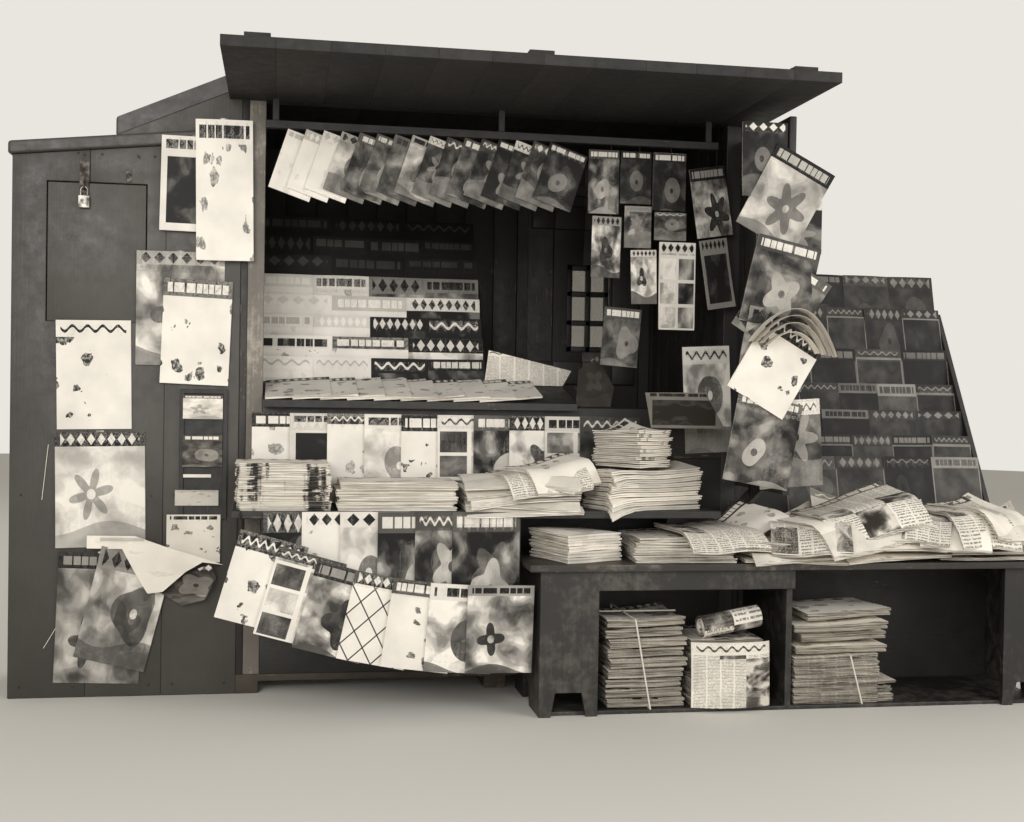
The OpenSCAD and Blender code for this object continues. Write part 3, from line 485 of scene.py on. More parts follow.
def cover_print(name, ink, paper, rough):
    """Letterpress and litho covers in black ink on white paper. The vertex colour "issue" holds
    for each magazine a random number, its ground's tone and its layout, and in its alpha how
    heavily it is inked."""
    stock, shader, add = new_finish(name)
    uv = add("UVMap", uv_map="print")
    u, v = [add("SeparateXYZ", uv, out=k) for k in (0, 1)]
    issue = add("Attribute", out="Color", attribute_name="issue")
    inked = add("Attribute", out="Alpha", attribute_name="issue")
    seed, tone, layout = [add("SeparateColor", issue, out=k) for k in (0, 1, 2)]
    draw = add("TexWhiteNoise", W=seed, noise_dimensions="1D", out="Color")
    r1, r2, r3 = [add("SeparateColor", draw, out=k) for k in (0, 1, 2)]
    far = add("Math.MULTIPLY", seed, 97.0)
    across = add("Math.ABSOLUTE", add("Math.SUBTRACT", u, 0.5))

    # what each issue draws between two ends, and what turns with the tone of its ground
    band, count, slope, left, down, petals, lobe, girth = [
        add("MapRange", drawn, 0.0, 1.0, least, most) for drawn, least, most in
        ((r1, 0.12, 0.2), (r2, 4.0, 9.0), (r3, -0.1, 0.4), (r1, -0.36, -0.66), (r3, -0.3, -0.6),
         (r2, 1.0, 6.9), (r2, 0.02, 0.09), (r1, 0.15, 0.28))]
    contrary, seldom, rim = [add("MapRange", tone, 0.4, 0.46, on_dark, on_pale)
                             for on_dark, on_pale in ((0.92, 0.03), (0.85, 0.6), (0.478, 0.41))]

    # masthead: uneven blocks, a row of diamonds or a wavy rule in a band along the top
    foot = add("Math.SUBTRACT", 1.0, band)
    high = add("Math.DIVIDE", add("Math.SUBTRACT", v, foot), band)
    along = add("Math.MULTIPLY_ADD", u, count, far)
    sway = add("Math.SINE", add("Math.MULTIPLY_ADD", u, 9.0, far))
    uneven = add("Math.MULTIPLY_ADD", sway, 0.4, along)
    half, part = [add("Math.ABSOLUTE", add("Math.SUBTRACT", add("Math.FRACT", run), 0.5))
                  for run in (along, uneven)]
    level = add("Math.SUBTRACT", high, 0.52)
    tall = add("Math.ABSOLUTE", level)
    blocks = add("Math.MULTIPLY", add("Math.LESS_THAN", part, 0.42),
                 add("Math.LESS_THAN", tall, 0.26))
    diamonds = add("Math.LESS_THAN", add("Math.ADD", half, tall), 0.4)
    swing = add("Math.SINE", add("Math.MULTIPLY", along, math.tau))
    swing = add("Math.SUBTRACT", level, add("Math.MULTIPLY", swing, 0.16))
    rule = add("Math.LESS_THAN", add("Math.ABSOLUTE", swing), 0.09)
    masthead = blocks
    for step, other in ((0.45, diamonds), (0.75, rule)):
        masthead = add("Mix", {0: add("Math.GREATER_THAN", r3, step), 2: masthead, 3: other})
    masthead = add("Math.MULTIPLY", masthead, add("Math.LESS_THAN", across, 0.44))
    in_band = add("Math.GREATER_THAN", high, 0.04)
    reversed_band = add("Math.GREATER_THAN", r2, seldom)
    band_tone = add("Mix", {0: reversed_band, 2: tone, 3: contrary})
    type_tone = add("Mix", {0: reversed_band, 2: contrary, 3: tone})
    head = add("Mix", {0: masthead, 2: band_tone, 3: type_tone})
    heavy = add("Math.MULTIPLY", inked, 2.2, use_clamp=True)
    head = add("Mix", {0: heavy, 2: tone, 3: head})

    # picture: soft light and shade, a hill line, and a disc or flower of a few lobes
    soft = add("CombineXYZ", add("Math.MULTIPLY", u, 2.1), add("Math.MULTIPLY", v, 2.6), far)
    haze = add("TexNoise", Vector=soft, Scale=1.2, Detail=1.0, Distortion=0.3)
    blots = add("TexNoise", Vector=soft, Scale=2.6, Detail=4.0, Distortion=0.4)
    even = add("MapRange", haze, 0.34, 0.66, 0.0, 3.0)
    dips = add("Math.SINE", add("Math.MULTIPLY", even, math.tau))
    steps = add("Math.MULTIPLY_ADD", dips, -0.15, even)
    shading = add("Math.ADD", add("MapRange", steps, 0.0, 3.0, -0.3, 0.3),
                  add("MapRange", blots, 0.4, 0.6, -0.1, 0.1))
    shading = add("Math.MULTIPLY", shading, inked)
    shaded = add("Math.ADD", shading, tone, use_clamp=True)
    dark_side = add("Math.SUBTRACT", contrary, add("Math.MULTIPLY", shading, 0.8), use_clamp=True)
    wave = add("Math.SINE", add("Math.MULTIPLY_ADD", u, 5.0, far))
    hill = add("Math.LESS_THAN", v, add("Math.MULTIPLY_ADD", wave, 0.06, slope))
    hill = add("Math.MULTIPLY", hill, add("Math.MULTIPLY", inked, 0.55))
    off = add("VectorMath.ADD", uv, add("CombineXYZ", left, down, 0.0))
    off = add("VectorMath.MULTIPLY", off, (1.0, 1.1, 1.0))
    reach = add("VectorMath.LENGTH", off, out="Value")
    angle = add("Math.ARCTAN2", *[add("SeparateXYZ", off, out=k) for k in (1, 0)])
    lobes = add("Math.COSINE", add("Math.MULTIPLY_ADD", angle, add("Math.FLOOR", petals), far))
    edge = add("Math.MULTIPLY_ADD", lobes, lobe, girth)
    figure = add("Math.MULTIPLY", add("Math.LESS_THAN", reach, edge),
                 add("Math.GREATER_THAN", reach, 0.05))
    figure = add("Math.MULTIPLY", figure, add("Math.MULTIPLY", inked, 0.8))
    view = shaded
    for share in (hill, figure):
        view = add("Mix", {0: share, 2: view, 3: dark_side})

    # framed: a dark picture within a rim
    middling = add("Math.ABSOLUTE", add("Math.SUBTRACT", v, 0.43))
    low_rim = add("Math.SUBTRACT", rim, 0.06)
    frame_in = add("Math.MULTIPLY", add("Math.LESS_THAN", across, rim),
                   add("Math.LESS_THAN", middling, low_rim))
    border = add("Mix", {0: heavy, 2: tone, 3: add("Math.MAXIMUM", tone, contrary)})
    framed = add("Mix", {0: frame_in, 2: border, 3: add("Math.MINIMUM", shaded, dark_side)})

    # panels: three rows of two pictures, each of its own tone; lattice: slanting lines
    grid = add("VectorMath.MULTIPLY", uv, (2.0, 3.6, 1.0))
    slant = add("CombineXYZ", add("Math.ADD", u, v), add("Math.SUBTRACT", u, v), 0.0)
    slant = add("VectorMath.MULTIPLY", slant, (3.0, 3.0, 0.0))
    spans = []
    for field, pick in ((grid, "Math.MAXIMUM"), (slant, "Math.MINIMUM")):
        within = add("VectorMath.ADD", add("VectorMath.FRACTION", field), (-0.5, -0.5, 0.0))
        within = add("VectorMath.ABSOLUTE", within)
        spans.append(add(pick, *[add("SeparateXYZ", within, out=k) for k in (0, 1)]))
    widest, line = spans
    cell_draw = add("TexWhiteNoise", Vector=add("VectorMath.FLOOR", grid), W=far,
                    noise_dimensions="4D", out="Value")
    panel_tone = add("MapRange", cell_draw, 0.0, 1.0, 0.2, 1.0)
    panel_tone = add("Math.ADD", panel_tone, shading, use_clamp=True)
    panels = add("Mix", {0: add("Math.LESS_THAN", widest, 0.43), 2: 0.94, 3: panel_tone})
    lattice = add("MapRange", line, 0.02, 0.045, 0.15, 0.96)

    # sketches: a few small ink-wash vignettes on plain paper
    spots = add("VectorMath.MULTIPLY", soft, (2.1, 2.2, 1.0))
    near, picked = [add("TexVoronoi", Vector=spots, Scale=1.0, out=out)
                    for out in ("Distance", "Color")]
    strokes = add("TexNoise", Vector=soft, Scale=12.0, Detail=3.0, Roughness=0.6)
    ragged = add("Math.ADD", add("MapRange", blots, 0.3, 0.7, -0.3, 0.3), near)
    marks = add("Math.GREATER_THAN", add("SeparateColor", picked), 0.4)
    for factor in (add("Math.LESS_THAN", ragged, 0.3), add("MapRange", strokes, 0.4, 0.6, 0.3, 0.9),
                   inked):
        marks = add("Math.MULTIPLY", marks, factor)
    sketch = add("Mix", {0: marks, 2: tone, 3: contrary})

    # page of newsprint: columns of fine broken lines with a few pictures among them
    fold = add("VectorMath.FLOOR", add("VectorMath.MULTIPLY", uv, (3.0, 4.0, 1.0)))
    plot = add("TexWhiteNoise", Vector=fold, W=far, noise_dimensions="4D", out="Value")
    column, row = [add("Math.FRACT", add("Math.MULTIPLY", side, times))
                   for side, times in ((u, 6.0), (v, 44.0))]
    broken = add("TexNoise", Vector=uv, Scale=60.0, Detail=1.0)
    lines = add("Math.GREATER_THAN", broken, 0.45)
    for factor in (add("Math.GREATER_THAN", column, 0.12), add("Math.LESS_THAN", row, 0.45)):
        lines = add("Math.MULTIPLY", lines, factor)
    news = add("Mix", {0: add("Math.LESS_THAN", plot, 0.26),
                       2: add("MapRange", lines, 0.0, 1.0, 0.93, 0.5),
                       3: add("MapRange", blots, 0.38, 0.62, 0.02, 0.85)})

    sheet = view
    for step, other in ((0.15, framed), (0.3, panels), (0.5, lattice), (0.65, sketch), (0.8, news)):
        sheet = add("Mix", {0: add("Math.GREATER_THAN", layout, step), 2: sheet, 3: other})
    sheet = add("Mix", {0: in_band, 2: sheet, 3: head})

    # the paper: soil in patches of 0.1 m, and a cockle of about 30 mm from crest to crest
    place = add("TexCoord", out="Object")
    fleck = add("TexNoise", Vector=place, Scale=9.0, Detail=5.0)
    sheet = add("Math.ADD", sheet, add("MapRange", fleck, 0.3, 0.7, -0.05, 0.05), use_clamp=True)
    colour = add("Mix", {0: add("Math.POWER", sheet, 2.2), 6: linear(ink), 7: linear(paper)},
                 data_type="RGBA", out=2)
    ripple = add("TexNoise", Vector=place, Scale=34.0, Detail=3.0)
    bump = add("Bump", Height=ripple, Distance=0.0012, Strength=0.4)
    feed(shader, {"Base Color": colour, "Roughness": rough, "Specular IOR Level": 0.2,
                  "Normal": bump})
    return stock


def trimmed_pages(name, paper, shade, sheet_mm, blotch=0.0):
    """The cut edges of a stack of pages: fine pale lines with darker ones between, at a spacing
    drawn coarser than real so that it shows, and dark blotches where print runs off the page."""
    stock, shader, add = new_finish(name)
    place = add("TexCoord", out="Object")
    layers = add("Mapping", place, Scale=(6.0, 6.0, 1000 / sheet_mm))
    lines = add("TexNoise", Vector=layers, Scale=1.0, Detail=3.0, Roughness=0.7)
    smears = add("Mapping", place, Scale=(16.0, 16.0, 2.0))
    runs = add("TexNoise", Vector=smears, Scale=1.0, Detail=4.0, Roughness=0.7)
    soil = add("TexNoise", Vector=place, Scale=11.0, Detail=4.0)
    mark = add("Math.MULTIPLY", add("MapRange", lines, 0.38, 0.62),
               add("MapRange", soil, 0.3, 0.7, 0.6, 1.0))
    edge = add("Mix", {0: mark, 6: linear(shade), 7: linear(paper)}, data_type="RGBA", out=2)
    edge = add("Mix", {0: add("MapRange", runs, 0.53, 0.6, 0.0, blotch), 6: edge,
                       7: linear("#1c1916")}, data_type="RGBA", out=2)
    bump = add("Bump", Height=lines, Distance=0.0008, Strength=0.6)
    feed(shader, {"Base Color": edge, "Roughness": 0.85, "Normal": bump})
    return stock


covers = cover_print("litho_cover_paper", "#141210", "#ece5d9", 0.5)
page_edges = trimmed_pages("trimmed_magazine_pages", "#f4eee3", "#9d9587", 3.0)
MAGAZINE = [(0.06, 0.0, COVER), (0.88, 0.0012, PAGES), (0.06, 0.0, COVER)]
PICTURE, FRAMED, PANELS, LATTICE, SKETCH, NEWS = 0.1, 0.2, 0.4, 0.57, 0.72, 0.9


def slack(rng, bow, corner, side):
    """How a magazine gives: a bow forward across its middle and a corner that lifts forward.
    side is -1 or 1 where only the left or right edge is free, and 0 where both are."""
    belly = rng.uniform(0.1, 1) * bow
    lean = rng.uniform(-0.3, 1) * bow
    lift = rng.uniform(0, 1) ** 2 * corner
    which = side or rng.choice((-1, 1))
    top = rng.choice((0, 1))

    def bend(u, v):
        free = u if which > 0 else 1 - u
        tall = v if top else 1 - v
        near = max(0.0, free + tall - 1.25)
        return -belly * 4 * u * (1 - u) * v - lean * v * v * free - lift * near * near * 1.8
    return bend


def magazines(name, node, issues, bow, corner, seed, side=0, flat=False):
    """Replaces the plain blocks of a CAD node with magazines. issues is a list with the tone,
    layout and ink of each from left to right, or a function that finds them from its place."""
    rng = random.Random(seed)
    whole = bmesh.new()
    for number, (size, place) in enumerate(places_of(node, flat)):
        look = (issues(place.translation, rng) if callable(issues)
                else issues[number % len(issues)])
        printed_block(whole, size, MAGAZINE, (rng.random(), *look),
                      slack(rng, bow, corner, side), place)
    shown(name, whole, [covers, page_edges], "magazine_paper", node)


def overhead(at, rng):
    """Nearly blank sheets on the left of the rail, grey covers towards the right."""
    if at.x < -0.49:
        return 0.97, SKETCH, 0.1
    greys = (0.7, 0.45, 0.36) if at.x < -0.25 else (0.32, 0.24, 0.15, 0.28)
    return rng.choice(greys), PICTURE, 0.6


def upper_rack(at, rng):
    """Pale covers low on the left, bold ones low on the right, and above them near-black covers
    with dim mastheads, which are painted shade of the flap over the top rows.
    """
    # the top rows are near black with dim mastheads: painted shade of the flap
    if at.z > 1.24:
        return rng.choice((0.03, 0.05, 0.1)), PICTURE, 0.1
    if at.x < -0.37:
        return rng.choice((0.98, 0.97, 0.95)), SKETCH, rng.choice((0.05, 0.1, 0.4))
    return rng.choice((0.06, 0.5, 0.08, 0.85)), PICTURE, 1.0


def right_rack(at, rng):
    """Dark covers, some with a thin pale rim, so lightly inked that their pale mastheads and rims
    print grey as painted shade.
    """
    tone = rng.choice((0.05, 0.1, 0.16, 0.22, 0.3))
    # the light ink greys the pale marks as painted shade over this rack
    return tone, rng.choice((PICTURE, PICTURE, FRAMED)), 0.22


hung = [(0.3, PICTURE, 0.9), (0.6, PICTURE, 1), (0.3, PICTURE, 0.5), (0.1, PICTURE, 0.5),
        (0.42, PICTURE, 0.8), (0.88, PICTURE, 1), (0.1, PICTURE, 0.5), (0.34, PICTURE, 0.5),
        (0.93, PANELS, 0.8), (0.6, PICTURE, 1), (0.93, PICTURE, 0.9), (0.5, FRAMED, 1)]
ledge = [(0.96, SKETCH, 0.5), (0.9, FRAMED, 0.8), (0.96, SKETCH, 0.4), (0.93, PICTURE, 0.5),
         (0.95, SKETCH, 0.9), (0.93, PANELS, 0.5), (0.36, PICTURE, 1), (0.93, PICTURE, 0.9),
         (0.85, PANELS, 0.8), (0.25, PICTURE, 0.4)]
low_row = [(0.06, PICTURE, 0.6), (0.96, SKETCH, 0.4), (0.9, PICTURE, 0.6), (0.36, PICTURE, 1),
           (0.3, PICTURE, 1), (0.34, PICTURE, 1)]
front_row = [(0.96, SKETCH, 0.9), (0.92, PANELS, 0.6), (0.62, PICTURE, 1), (0.96, LATTICE, 0.5),
             (0.95, SKETCH, 0.8), (0.9, PICTURE, 0.9), (0.62, PICTURE, 0.9)]
wing = [(0.95, SKETCH, 1), (0.6, PICTURE, 0.8), (0.92, PICTURE, 0.45), (0.62, PICTURE, 0.8),
        (0.75, PICTURE, 0.9), (0.93, FRAMED, 1), (0.96, SKETCH, 0.9), (0.97, SKETCH, 0.6)]
leaf = [(0.12, PICTURE, 0.5), (0.3, PICTURE, 0.8), (0.93, SKETCH, 0.9), (0.5, PICTURE, 0.8),
        (0.3, PICTURE, 0.8), (0.36, PICTURE, 0.7), (0.7, PICTURE, 0.5), (0.2, PICTURE, 0.7),
        (0.28, PICTURE, 0.6)]
magazines("overhead_digests", "overhead_magazines", overhead, 0.004, 0.012, 41)
magazines("clipped_weeklies", "hanging_magazines", hung, 0.004, 0.01, 42)
magazines("upper_rack_issues", "upper_rack_magazines", upper_rack, 0.004, 0.012, 43)
magazines("fanned_weeklies", "shelf_magazines", [(0.95, SKETCH, 0.5)], 0.001, 0.004, 44, side=1,
          flat=True)
magazines("ledge_weeklies", "counter_magazines", ledge, 0.001, 0.006, 45, side=-1)
magazines("lower_rack_issues", "lower_rack_magazines", low_row, 0.001, 0.006, 46, side=-1)
magazines("front_row_issues", "front_row_magazines", front_row, 0.001, 0.01, 47, side=-1)
magazines("cabinet_issues", "wing_magazines", wing, 0.006, 0.03, 48)
magazines("shutter_issues", "leaf_magazines", leaf, 0.006, 0.02, 49)
magazines("right_rack_issues", "right_rack_magazines", right_rack, 0.004, 0.01, 50)


# Newspapers and piles
# Folded newspapers and new issues in piles: each paper is a folded wad with its own askew lie,
# and the ones that reach past the edge of a board droop over it.
newsprint = cover_print("folded_newsprint", "#2b2621", "#f0e8da", 0.75)
news_edges = trimmed_pages("newsprint_edges", "#f0e9db", "#6d6558", 2.2)
yellowed_edges = trimmed_pages("old_newsprint_edges", "#bdb5a5", "#3a342c", 2.6)
blotched_edges = trimmed_pages("printed_page_edges", "#f6f0e5", "#b3ab9d", 3.0, 1.0)
WAD = [(0.34, 0.0, COVER), (0.28, 0.005, PAGES), (0.38, 0.0015, COVER)]
FLAT = Matrix.Rotation(-math.pi / 2, 4, "X")


def heap(whole, low, high, thick, rng, look, edge=None, askew=0.006, loose=0.0, wave=0.0,
         droop=7.0, fill=0.94, offset=0.0, curl=0.0, side=PAGES, spine=None, yaw=0.0, cut=None):
    """Piles papers in a box from its bottom to its top. Each lies a little askew, the upper ones
    more loosely and in waves, and all droop where they pass the edge of the board under them.
    yaw turns the whole pile, and cut is the papers' size where the box isn't filled."""
    wide, deep = cut or (high.x - low.x, high.y - low.y)
    count = max(1, round((high.z - low.z) / thick))
    t = (high.z - low.z) / count
    for k in range(count):
        twist = rng.uniform(-1, 1) * (askew * 1.5 + loose * (0.3 + 0.7 * k / count))
        turn = yaw + twist
        w, d = [room - 2 * askew - rng.uniform(0, 1.5) * askew - abs(twist) * 0.2
                for room in (wide, deep)]
        over = [(low[i] + high[i]) / 2 + rng.uniform(-1, 1) * askew for i in (0, 1)]
        centre = Vector((*over, low.z + (k + offset + 0.5) * t))
        ripple = rng.uniform(0, 0.0012)
        phase = rng.uniform(0, 6)
        top = curl if k == count - 1 else 0.0
        which = rng.choice((0, 1))

        def bend(u, v):
            x = centre.x + (u - 0.5) * w * math.cos(turn) - (v - 0.5) * d * math.sin(turn)
            y = centre.y + (u - 0.5) * w * math.sin(turn) + (v - 0.5) * d * math.cos(turn)
            swell = math.sin(11 * x + 1) + math.sin(16 * y + 7 * x)
            rise = wave * (centre.z - low.z) / 0.1 * swell
            fall = droop * max(0.0, edge - y) ** 2 if edge is not None else 0.0
            lift = top * max(0.0, (u if which else 1 - u) + v - 1.2) ** 2
            return fall - rise - lift + ripple * math.sin(phase + u * 7)
        place = Matrix.Translation(centre) @ Matrix.Rotation(turn, 4, "Z") @ FLAT
        printed_block(whole, (w, d, t * fill), WAD, (rng.random(), *look), bend, place, (8, 8),
                      side, spine)


def lay_down(whole, rng, x, y, z, yaw, lean, w, d, t, look, sag, lift):
    """Lays one open paper in a given place, its front edge sagging and one far corner lifted."""
    def bend(u, v):
        front, corner = max(0.0, 0.36 - v) / 0.36, max(0.0, u + v - 1.1)
        return sag * front ** 2 - lift * corner ** 2 + 0.004 * math.sin(7 * u + 40 * x)
    place = (Matrix.Translation((x, y, z)) @ Matrix.Rotation(yaw, 4, "Z")
             @ Matrix.Rotation(lean, 4, "Y") @ FLAT)
    printed_block(whole, (w, d, t), WAD, (rng.random(), *look), bend, place, (10, 10))


def pile_boxes(node):
    """Lowest and highest corner of each pile of a CAD node, from left to right."""
    whole = welded(node)
    found = [[Vector([end(v.co[i] for v in pile) for i in range(3)]) for end in (min, max)]
             for pile in shells(whole)]
    whole.free()
    return sorted(found, key=lambda b: tuple(b[0]))


rng = random.Random(60)
white, plain, page = (0.97, SKETCH, 0.5), (0.97, PICTURE, 0.2), (0.93, NEWS, 0.8)
worn_round = 0.012
ledge_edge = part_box("counter_ledge")[0].y + worn_round
stacks = bmesh.new()
for (low, high), out, style in zip(pile_boxes("counter_stacks"), (0, 0, 0.03, 0.03, 0), [
        dict(thick=0.0095, look=white, side=BLOTCHED), dict(thick=0.0105, look=white),
        dict(thick=0.014, look=plain, loose=0.16, wave=0.008, droop=22, fill=0.8, curl=0.04),
        dict(thick=0.014, look=plain, loose=0.1, wave=0.008, droop=22, fill=0.8, yaw=0.32,
             cut=(0.35, 0.19), spine=COVER),
        dict(thick=0.0125, look=white, loose=0.05, wave=0.004, fill=0.8, curl=0.05, yaw=0.6,
             cut=(0.17, 0.21), spine=COVER)]):
    heap(stacks, low - Vector((0, out, 0)), high, rng=rng, edge=ledge_edge, **style)
for laid in [(0.09, -0.72, 0.712, 0.24, -0.1, 0.27, 0.2, 0.014, page, 0.06, 0.0),
             (0.13, -0.715, 0.732, 0.42, -0.12, 0.24, 0.18, 0.012, white, 0.07, 0.02)]:
    lay_down(stacks, random.Random(61), *laid)
shown("ledge_piles", stacks, [newsprint, page_edges, blotched_edges], "magazine_paper",
      "counter_stacks")

bench_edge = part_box("bench_top")[0].y + worn_round
spread = bmesh.new()
thick, slip, front_row_y = 0.018, 0.035, -0.58
for number, (low, high) in enumerate(pile_boxes("bench_newspapers")):
    if number < 2:
        turned = (dict(yaw=0.42, cut=(0.22, 0.22), spine=COVER), dict(yaw=-0.06))[number]
        heap(spread, low, high, 0.0165, rng, (plain, page)[number], bench_edge, loose=0.04,
             wave=0.004, **turned)
    else:
        front = high.y < front_row_y
        high.z = low.z + thick * round((high.z - low.z) / thick)
        heap(spread, low - Vector((slip, slip * front, 0)), high + Vector((slip, 0, 0)), thick,
             rng, (page, white, plain)[number % 3], bench_edge, askew=0.014,
             loose=0.24 if front else 0.05, wave=0.008, droop=20.0, fill=0.48,
             offset=0.5 * (number in (3, 4)), curl=0.12)
for laid in [(0.76, -0.71, 0.565, 0.5, -0.3, 0.2, 0.2, 0.004, white, 0.02, 0.03),
             (0.62, -0.8, 0.545, 0.12, 0.0, 0.26, 0.3, 0.012, page, 0.05, 0.0),
             (0.93, -0.82, 0.565, -0.35, -0.05, 0.24, 0.3, 0.014, page, 0.08, 0.02),
             (1.06, -0.815, 0.59, 0.3, -0.16, 0.38, 0.28, 0.016, plain, 0.09, 0.0),
             (1.1, -0.8, 0.617, 0.12, -0.2, 0.34, 0.27, 0.014, page, 0.08, 0.04),
             (1.3, -0.81, 0.588, -0.5, 0.05, 0.2, 0.3, 0.01, page, 0.07, 0.05),
             (1.38, -0.82, 0.585, -0.2, 0.06, 0.22, 0.3, 0.01, white, 0.09, 0.0),
             (1.45, -0.82, 0.6, 0.15, 0.04, 0.22, 0.3, 0.01, page, 0.1, 0.05),
             (1.52, -0.81, 0.6, 0.4, 0.1, 0.2, 0.28, 0.012, plain, 0.08, 0.06)]:
    lay_down(spread, rng, *laid)
shown("bench_papers", spread, [newsprint, news_edges], "newsprint", "bench_newspapers")

tied = bmesh.new()
left_bundle, right_bundle = pile_boxes("newspaper_bundles")
heap(tied, *left_bundle, 0.03, rng, page, askew=0.008, wave=0.003, fill=0.78)
low, high = right_bundle
waist = Vector((high.x - 0.07, high.y, 0.16))
heap(tied, low, waist, 0.0075, rng, page, askew=0.004, wave=0.002, fill=0.9)
heap(tied, Vector((high.x - 0.16, low.y, low.z)), Vector((high.x, high.y - 0.02, 0.07)), 0.012,
     rng, page, askew=0.01, loose=0.1, wave=0.01, fill=0.6, curl=0.1)
heap(tied, Vector((low.x, low.y, waist.z)), high, 0.034, rng, white, askew=0.018, loose=0.07,
     wave=0.003, fill=0.62)
shown("tied_bundles", tied, [newsprint, yellowed_edges], "newsprint", "newspaper_bundles")


def strand(whole, radius, *points):
    """Lays string or wire tight from point to point."""
    for start, end in zip(points, points[1:]):
        run = Vector(end) - Vector(start)
        middle = (Vector(start) + Vector(end)) / 2
        bmesh.ops.create_cone(whole, cap_ends=True, segments=8, radius1=radius, radius2=radius,
                              depth=run.length + radius, matrix=Matrix.Translation(middle)
                              @ run.to_track_quat("Z", "Y").to_matrix().to_4x4())


# soft cotton, whose slanting strands show as pale and grey bands about 4 mm apart
twine, shader, add = new_finish("cotton_twine")
lay = add("TexWave", Vector=add("TexCoord", out="Object"), Scale=160.0, Distortion=2.0,
          bands_direction="DIAGONAL")
feed(shader, {"Base Color": add("Mix", {0: lay, 6: linear("#b5ad9e"), 7: linear("#efe8da")},
                                data_type="RGBA", out=2), "Roughness": 0.9})
ties = bmesh.new()
string_r, middle_y = 0.0026, -0.72
for low, high, left, right in ((*left_bundle, 0.362, 0.412), (right_bundle[0], waist, 1.05, 1.09)):
    near, away, under, top = low.y - 0.002, high.y + 0.002, low.z + 0.001, high.z
    strand(ties, string_r, (left, near, top), (right, near, under), (right, away, under),
           (left, away, top), (left, near, top))
    strand(ties, string_r, (low.x - 0.001, middle_y, top), (low.x - 0.001, middle_y, under))
    strand(ties, string_r, (low.x, middle_y, top), (high.x, middle_y, top))
shown("bundle_strings", ties, [twine], "newsprint")

wads = bmesh.new()
pile, roll = pile_boxes("folded_newspapers")
heap(wads, *pile, 0.012, rng, page, fill=0.85)
printed_block(wads, (0.25, 0.196, 0.003), [(1.0, 0.0, COVER)], (0.37, 0.93, NEWS, 1.0),
              lambda u, v: -0.09 * u * (1 - u) + 0.12 * max(0, u - 0.8) ** 2 + 0.012 * v * v,
              Matrix.Translation((0.664, pile[0].y - 0.006, 0.112)), (12, 8), COVER)
# one paper rolled into a coil of a little over three turns and laid askew
turns, steps, gauge, hollow = 3.2, 72, 0.0022, 0.72
middle, span = (roll[0] + roll[1]) / 2, roll[1] - roll[0]
coil, print_map, tag = blank_print()
bmesh.ops.create_grid(coil, x_segments=1, y_segments=steps, size=0.5,
                      matrix=Matrix.Translation((0.5, 0, 0.5)) @ UPRIGHT)
thicken(coil, coil.faces[:], gauge)
for corner in (c for face in coil.faces for c in face.loops):
    across, _, along = corner.vert.co
    corner[print_map].uv = (across * span.x / 0.3, 0.8 - 0.9 * along)
for v in coil.verts:
    v[tag] = (0.61, 0.9, NEWS, 0.9)
    across, inward, along = v.co
    angle = math.tau * turns * along - 1.4
    radius = span.z / 2 * (1 - hollow * along) - inward
    v.co = (roll[0].x + across * span.x, middle.y - radius * math.cos(angle),
            middle.z + radius * math.sin(angle))
bmesh.ops.recalc_face_normals(coil, faces=coil.faces)
coil.transform(Matrix.Translation(roll[0]) @ Matrix.Rotation(-0.15, 4, "Y")
               @ Matrix.Rotation(0.12, 4, "Z") @ Matrix.Translation(-roll[0]))
gather(wads, coil)
shown("folded_papers", wads, [newsprint, yellowed_edges], "newsprint", "folded_newspapers")


# Loose sheets
# Single papers that stand on the shelf, the counter and a pile, a page that curls off the
# cabinet over a dark sheet of painted shade, labels and cards on its narrow boards, and pages
# that fan out on the shutter.
def cut_sheet(whole, outline, y, thick, issue, bend, cells=(8, 8)):
    """Adds a sheet cut to an outline of x and z, set at a depth y and bent forward or back."""
    sheet, print_map, tag = blank_print()
    sheet.faces.new([sheet.verts.new((x, 0, z)) for x, z in outline])
    (left, foot), (right, head) = [[end(at) for at in zip(*outline)] for end in (min, max)]

    def share(vertex):
        return (vertex.co.x - left) / (right - left), (vertex.co.z - foot) / (head - foot)
    for axis, start, end, count in ((0, left, right, cells[0]), (2, foot, head, cells[1])):
        for k in range(1, count):
            place, across = Vector(), Vector()
            place[axis], across[axis] = start + (end - start) * k / count, 1
            bmesh.ops.bisect_plane(sheet, geom=sheet.verts[:] + sheet.edges[:] + sheet.faces[:],
                                   plane_co=place, plane_no=across)
    for corner in (c for face in sheet.faces for c in face.loops):
        corner[print_map].uv = share(corner.vert)
    thicken(sheet, sheet.faces[:], thick)
    bmesh.ops.recalc_face_normals(sheet, faces=sheet.faces)
    for v in sheet.verts:
        v[tag] = issue
        v.co.y -= bend(*share(v))
    sheet.transform(Matrix.Translation((0, y, 0)))
    gather(whole, sheet)


standing = bmesh.new()
upright = welded("standing_papers")
kinds = [(0.93, NEWS, 0.9), (0.08, PICTURE, 0.2), (0.5, FRAMED, 1.0)]
for number, block in enumerate(sorted(shells(upright), key=lambda b: -min(v.co.y for v in b))):
    face_y = min(v.co.y for v in block)
    rim = [v.co for v in block if v.co.y < face_y + 0.001]
    centre = sum(rim, Vector()) / len(rim)
    rim = sorted(rim, key=lambda c: math.atan2(c.z - centre.z, c.x - centre.x))
    cut_sheet(standing, [(c.x, c.z) for c in rim], face_y + 0.001, 0.0015,
              (0.13 + 0.29 * number, *kinds[number]),
              lambda u, v: -0.006 * (1 - 4 * u * (1 - u)) * v)
upright.free()
shown("standing_sheets", standing, [newsprint], "newsprint", "standing_papers")

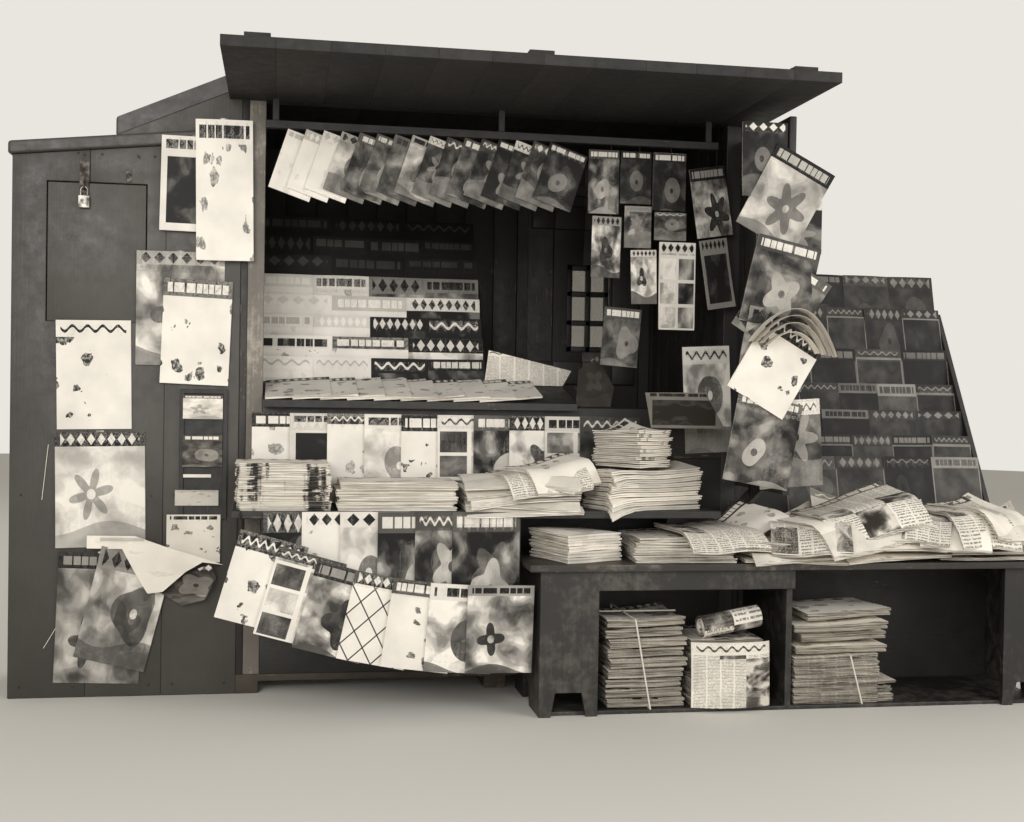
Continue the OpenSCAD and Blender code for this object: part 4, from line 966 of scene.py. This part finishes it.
boards_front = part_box("notice_boards")[0].y
cabinet_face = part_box("cabinet_front")[0].y
loose = bmesh.new()
curling_page = [(-1.268, 0.5), (-1.125, 0.5), (-1.033, 0.466), (-0.86, 0.412), (-0.923, 0.419),
                (-0.974, 0.389), (-1.042, 0.328), (-1.087, 0.322), (-1.122, 0.381),
                (-1.163, 0.46), (-1.268, 0.461)]
# a dark sheet under the curl of the page: painted shade of the curling page
shade_under_curl = [(-1.058, 0.327), (-0.985, 0.283), (-0.917, 0.301), (-0.882, 0.37),
              (-0.899, 0.412), (-0.98, 0.38)]
cut_sheet(loose, curling_page, cabinet_face - 0.03, 0.0005, (0.21, 0.97, SKETCH, 0.1),
          lambda u, v: 0.035 * u * u + 0.012 * math.sin(5 * u) * v, (14, 8))
# the sheet behind the curl is printed dark as painted shade
cut_sheet(loose, shade_under_curl, cabinet_face - 0.022, 0.004, (0.43, 0.12, PICTURE, 0.6),
          lambda u, v: 0.02 * u * u)
for left, right, foot, head, issue in [(-0.99, -0.87, 0.858, 0.931, (0.31, 0.88, PICTURE, 0.3)),
                                       (-0.99, -0.87, 0.71, 0.808, (0.52, 0.3, PICTURE, 0.5)),
                                       (-0.987, -0.903, 0.677, 0.687, (0.11, 0.95, SKETCH, 0.0)),
                                       (-1.011, -0.88, 0.59, 0.638, (0.77, 0.8, SKETCH, 0.3)),
                                       (-1.035, -0.873, 0.414, 0.562, (0.66, 0.94, SKETCH, 0.7))]:
    cut_sheet(loose, [(left, foot), (right, foot), (right, head), (left, head)],
              boards_front - 0.001, 0.0008, issue, lambda u, v: 0.001 * u * v, (3, 3))
for left, right, foot, head in ((-1.116, -1.044, 1.303, 1.361), (-1.035, -0.954, 1.342, 1.367)):
    cut_sheet(loose, [(left, foot), (right, foot), (right - 0.004, head), (left + 0.005, head)],
              cabinet_face - 0.002, 0.0006, (0.9, 0.96, SKETCH, 0.0),
              lambda u, v: 0.006 * u * v, (3, 3))
fan = Matrix.Translation((0.8, -0.972, 1.1)) @ Matrix.Rotation(0.15, 4, "Y") @ FLAT
for w, rise, tone in ((0.27, 0.12, 0.97), (0.235, 0.1, 0.9), (0.2, 0.078, 0.97),
                      (0.16, 0.05, 0.93)):
    printed_block(loose, (w, 0.045, 0.0012), [(1.0, 0.0, COVER)], (w, tone, PICTURE, 0.3),
                  lambda u, v: -rise * 4 * u * (1 - u), fan, (16, 2), COVER)
shown("loose_sheets", loose, [newsprint], "newsprint")


# Small fastenings
# Two cotton strings that hang on the cabinet, the steel clips that hold its magazines, and the
# heads of the iron nails in its boards and lid.
lines = bmesh.new()
thin, hung_y = 0.0011, cabinet_face - 0.003
strand(lines, thin, (-1.387, hung_y, 0.774), (-1.404, hung_y, 0.607))
strand(lines, thin, (-1.308, hung_y, 0.304), (-1.395, hung_y, 0.154))
shown("cabinet_strings", lines, [twine], "cabinet_paint")

clips = bmesh.new()
for number in (1, 2, 4, 5, 7):
    (w, h, t), place = places_of("wing_magazines")[number]
    stick(clips, (0, 0, h / 2 - 0.006), (0.024, t + 0.006, 0.022), 0.0015, place)
shown("paper_clips", clips, [plated], "lock_steel")

heads = bmesh.new()
low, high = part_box("cabinet_front")
lid_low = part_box("cabinet_lid")[0]
from_joint = 0.035
spots = [(low.x + front_board * k + s * from_joint, low.y, z) for k in range(4) for s in (-1, 1)
         for z in (low.z + 0.035, low.z + 0.62, high.z - 0.06)]
spots += [(lid_low.x + 0.06 + 0.16 * k, lid_low.y, lid_low.z + 0.01) for k in range(4)]
for x, y, z in spots:
    if low.x + 0.01 < x < high.x - 0.01:
        bmesh.ops.create_uvsphere(heads, u_segments=10, v_segments=6, radius=0.0042,
                                  matrix=Matrix.Translation((x, y, z))
                                  @ Matrix.Diagonal((1, 0.4, 1, 1)))
shown("nail_heads", heads, [black_iron], "black_iron")
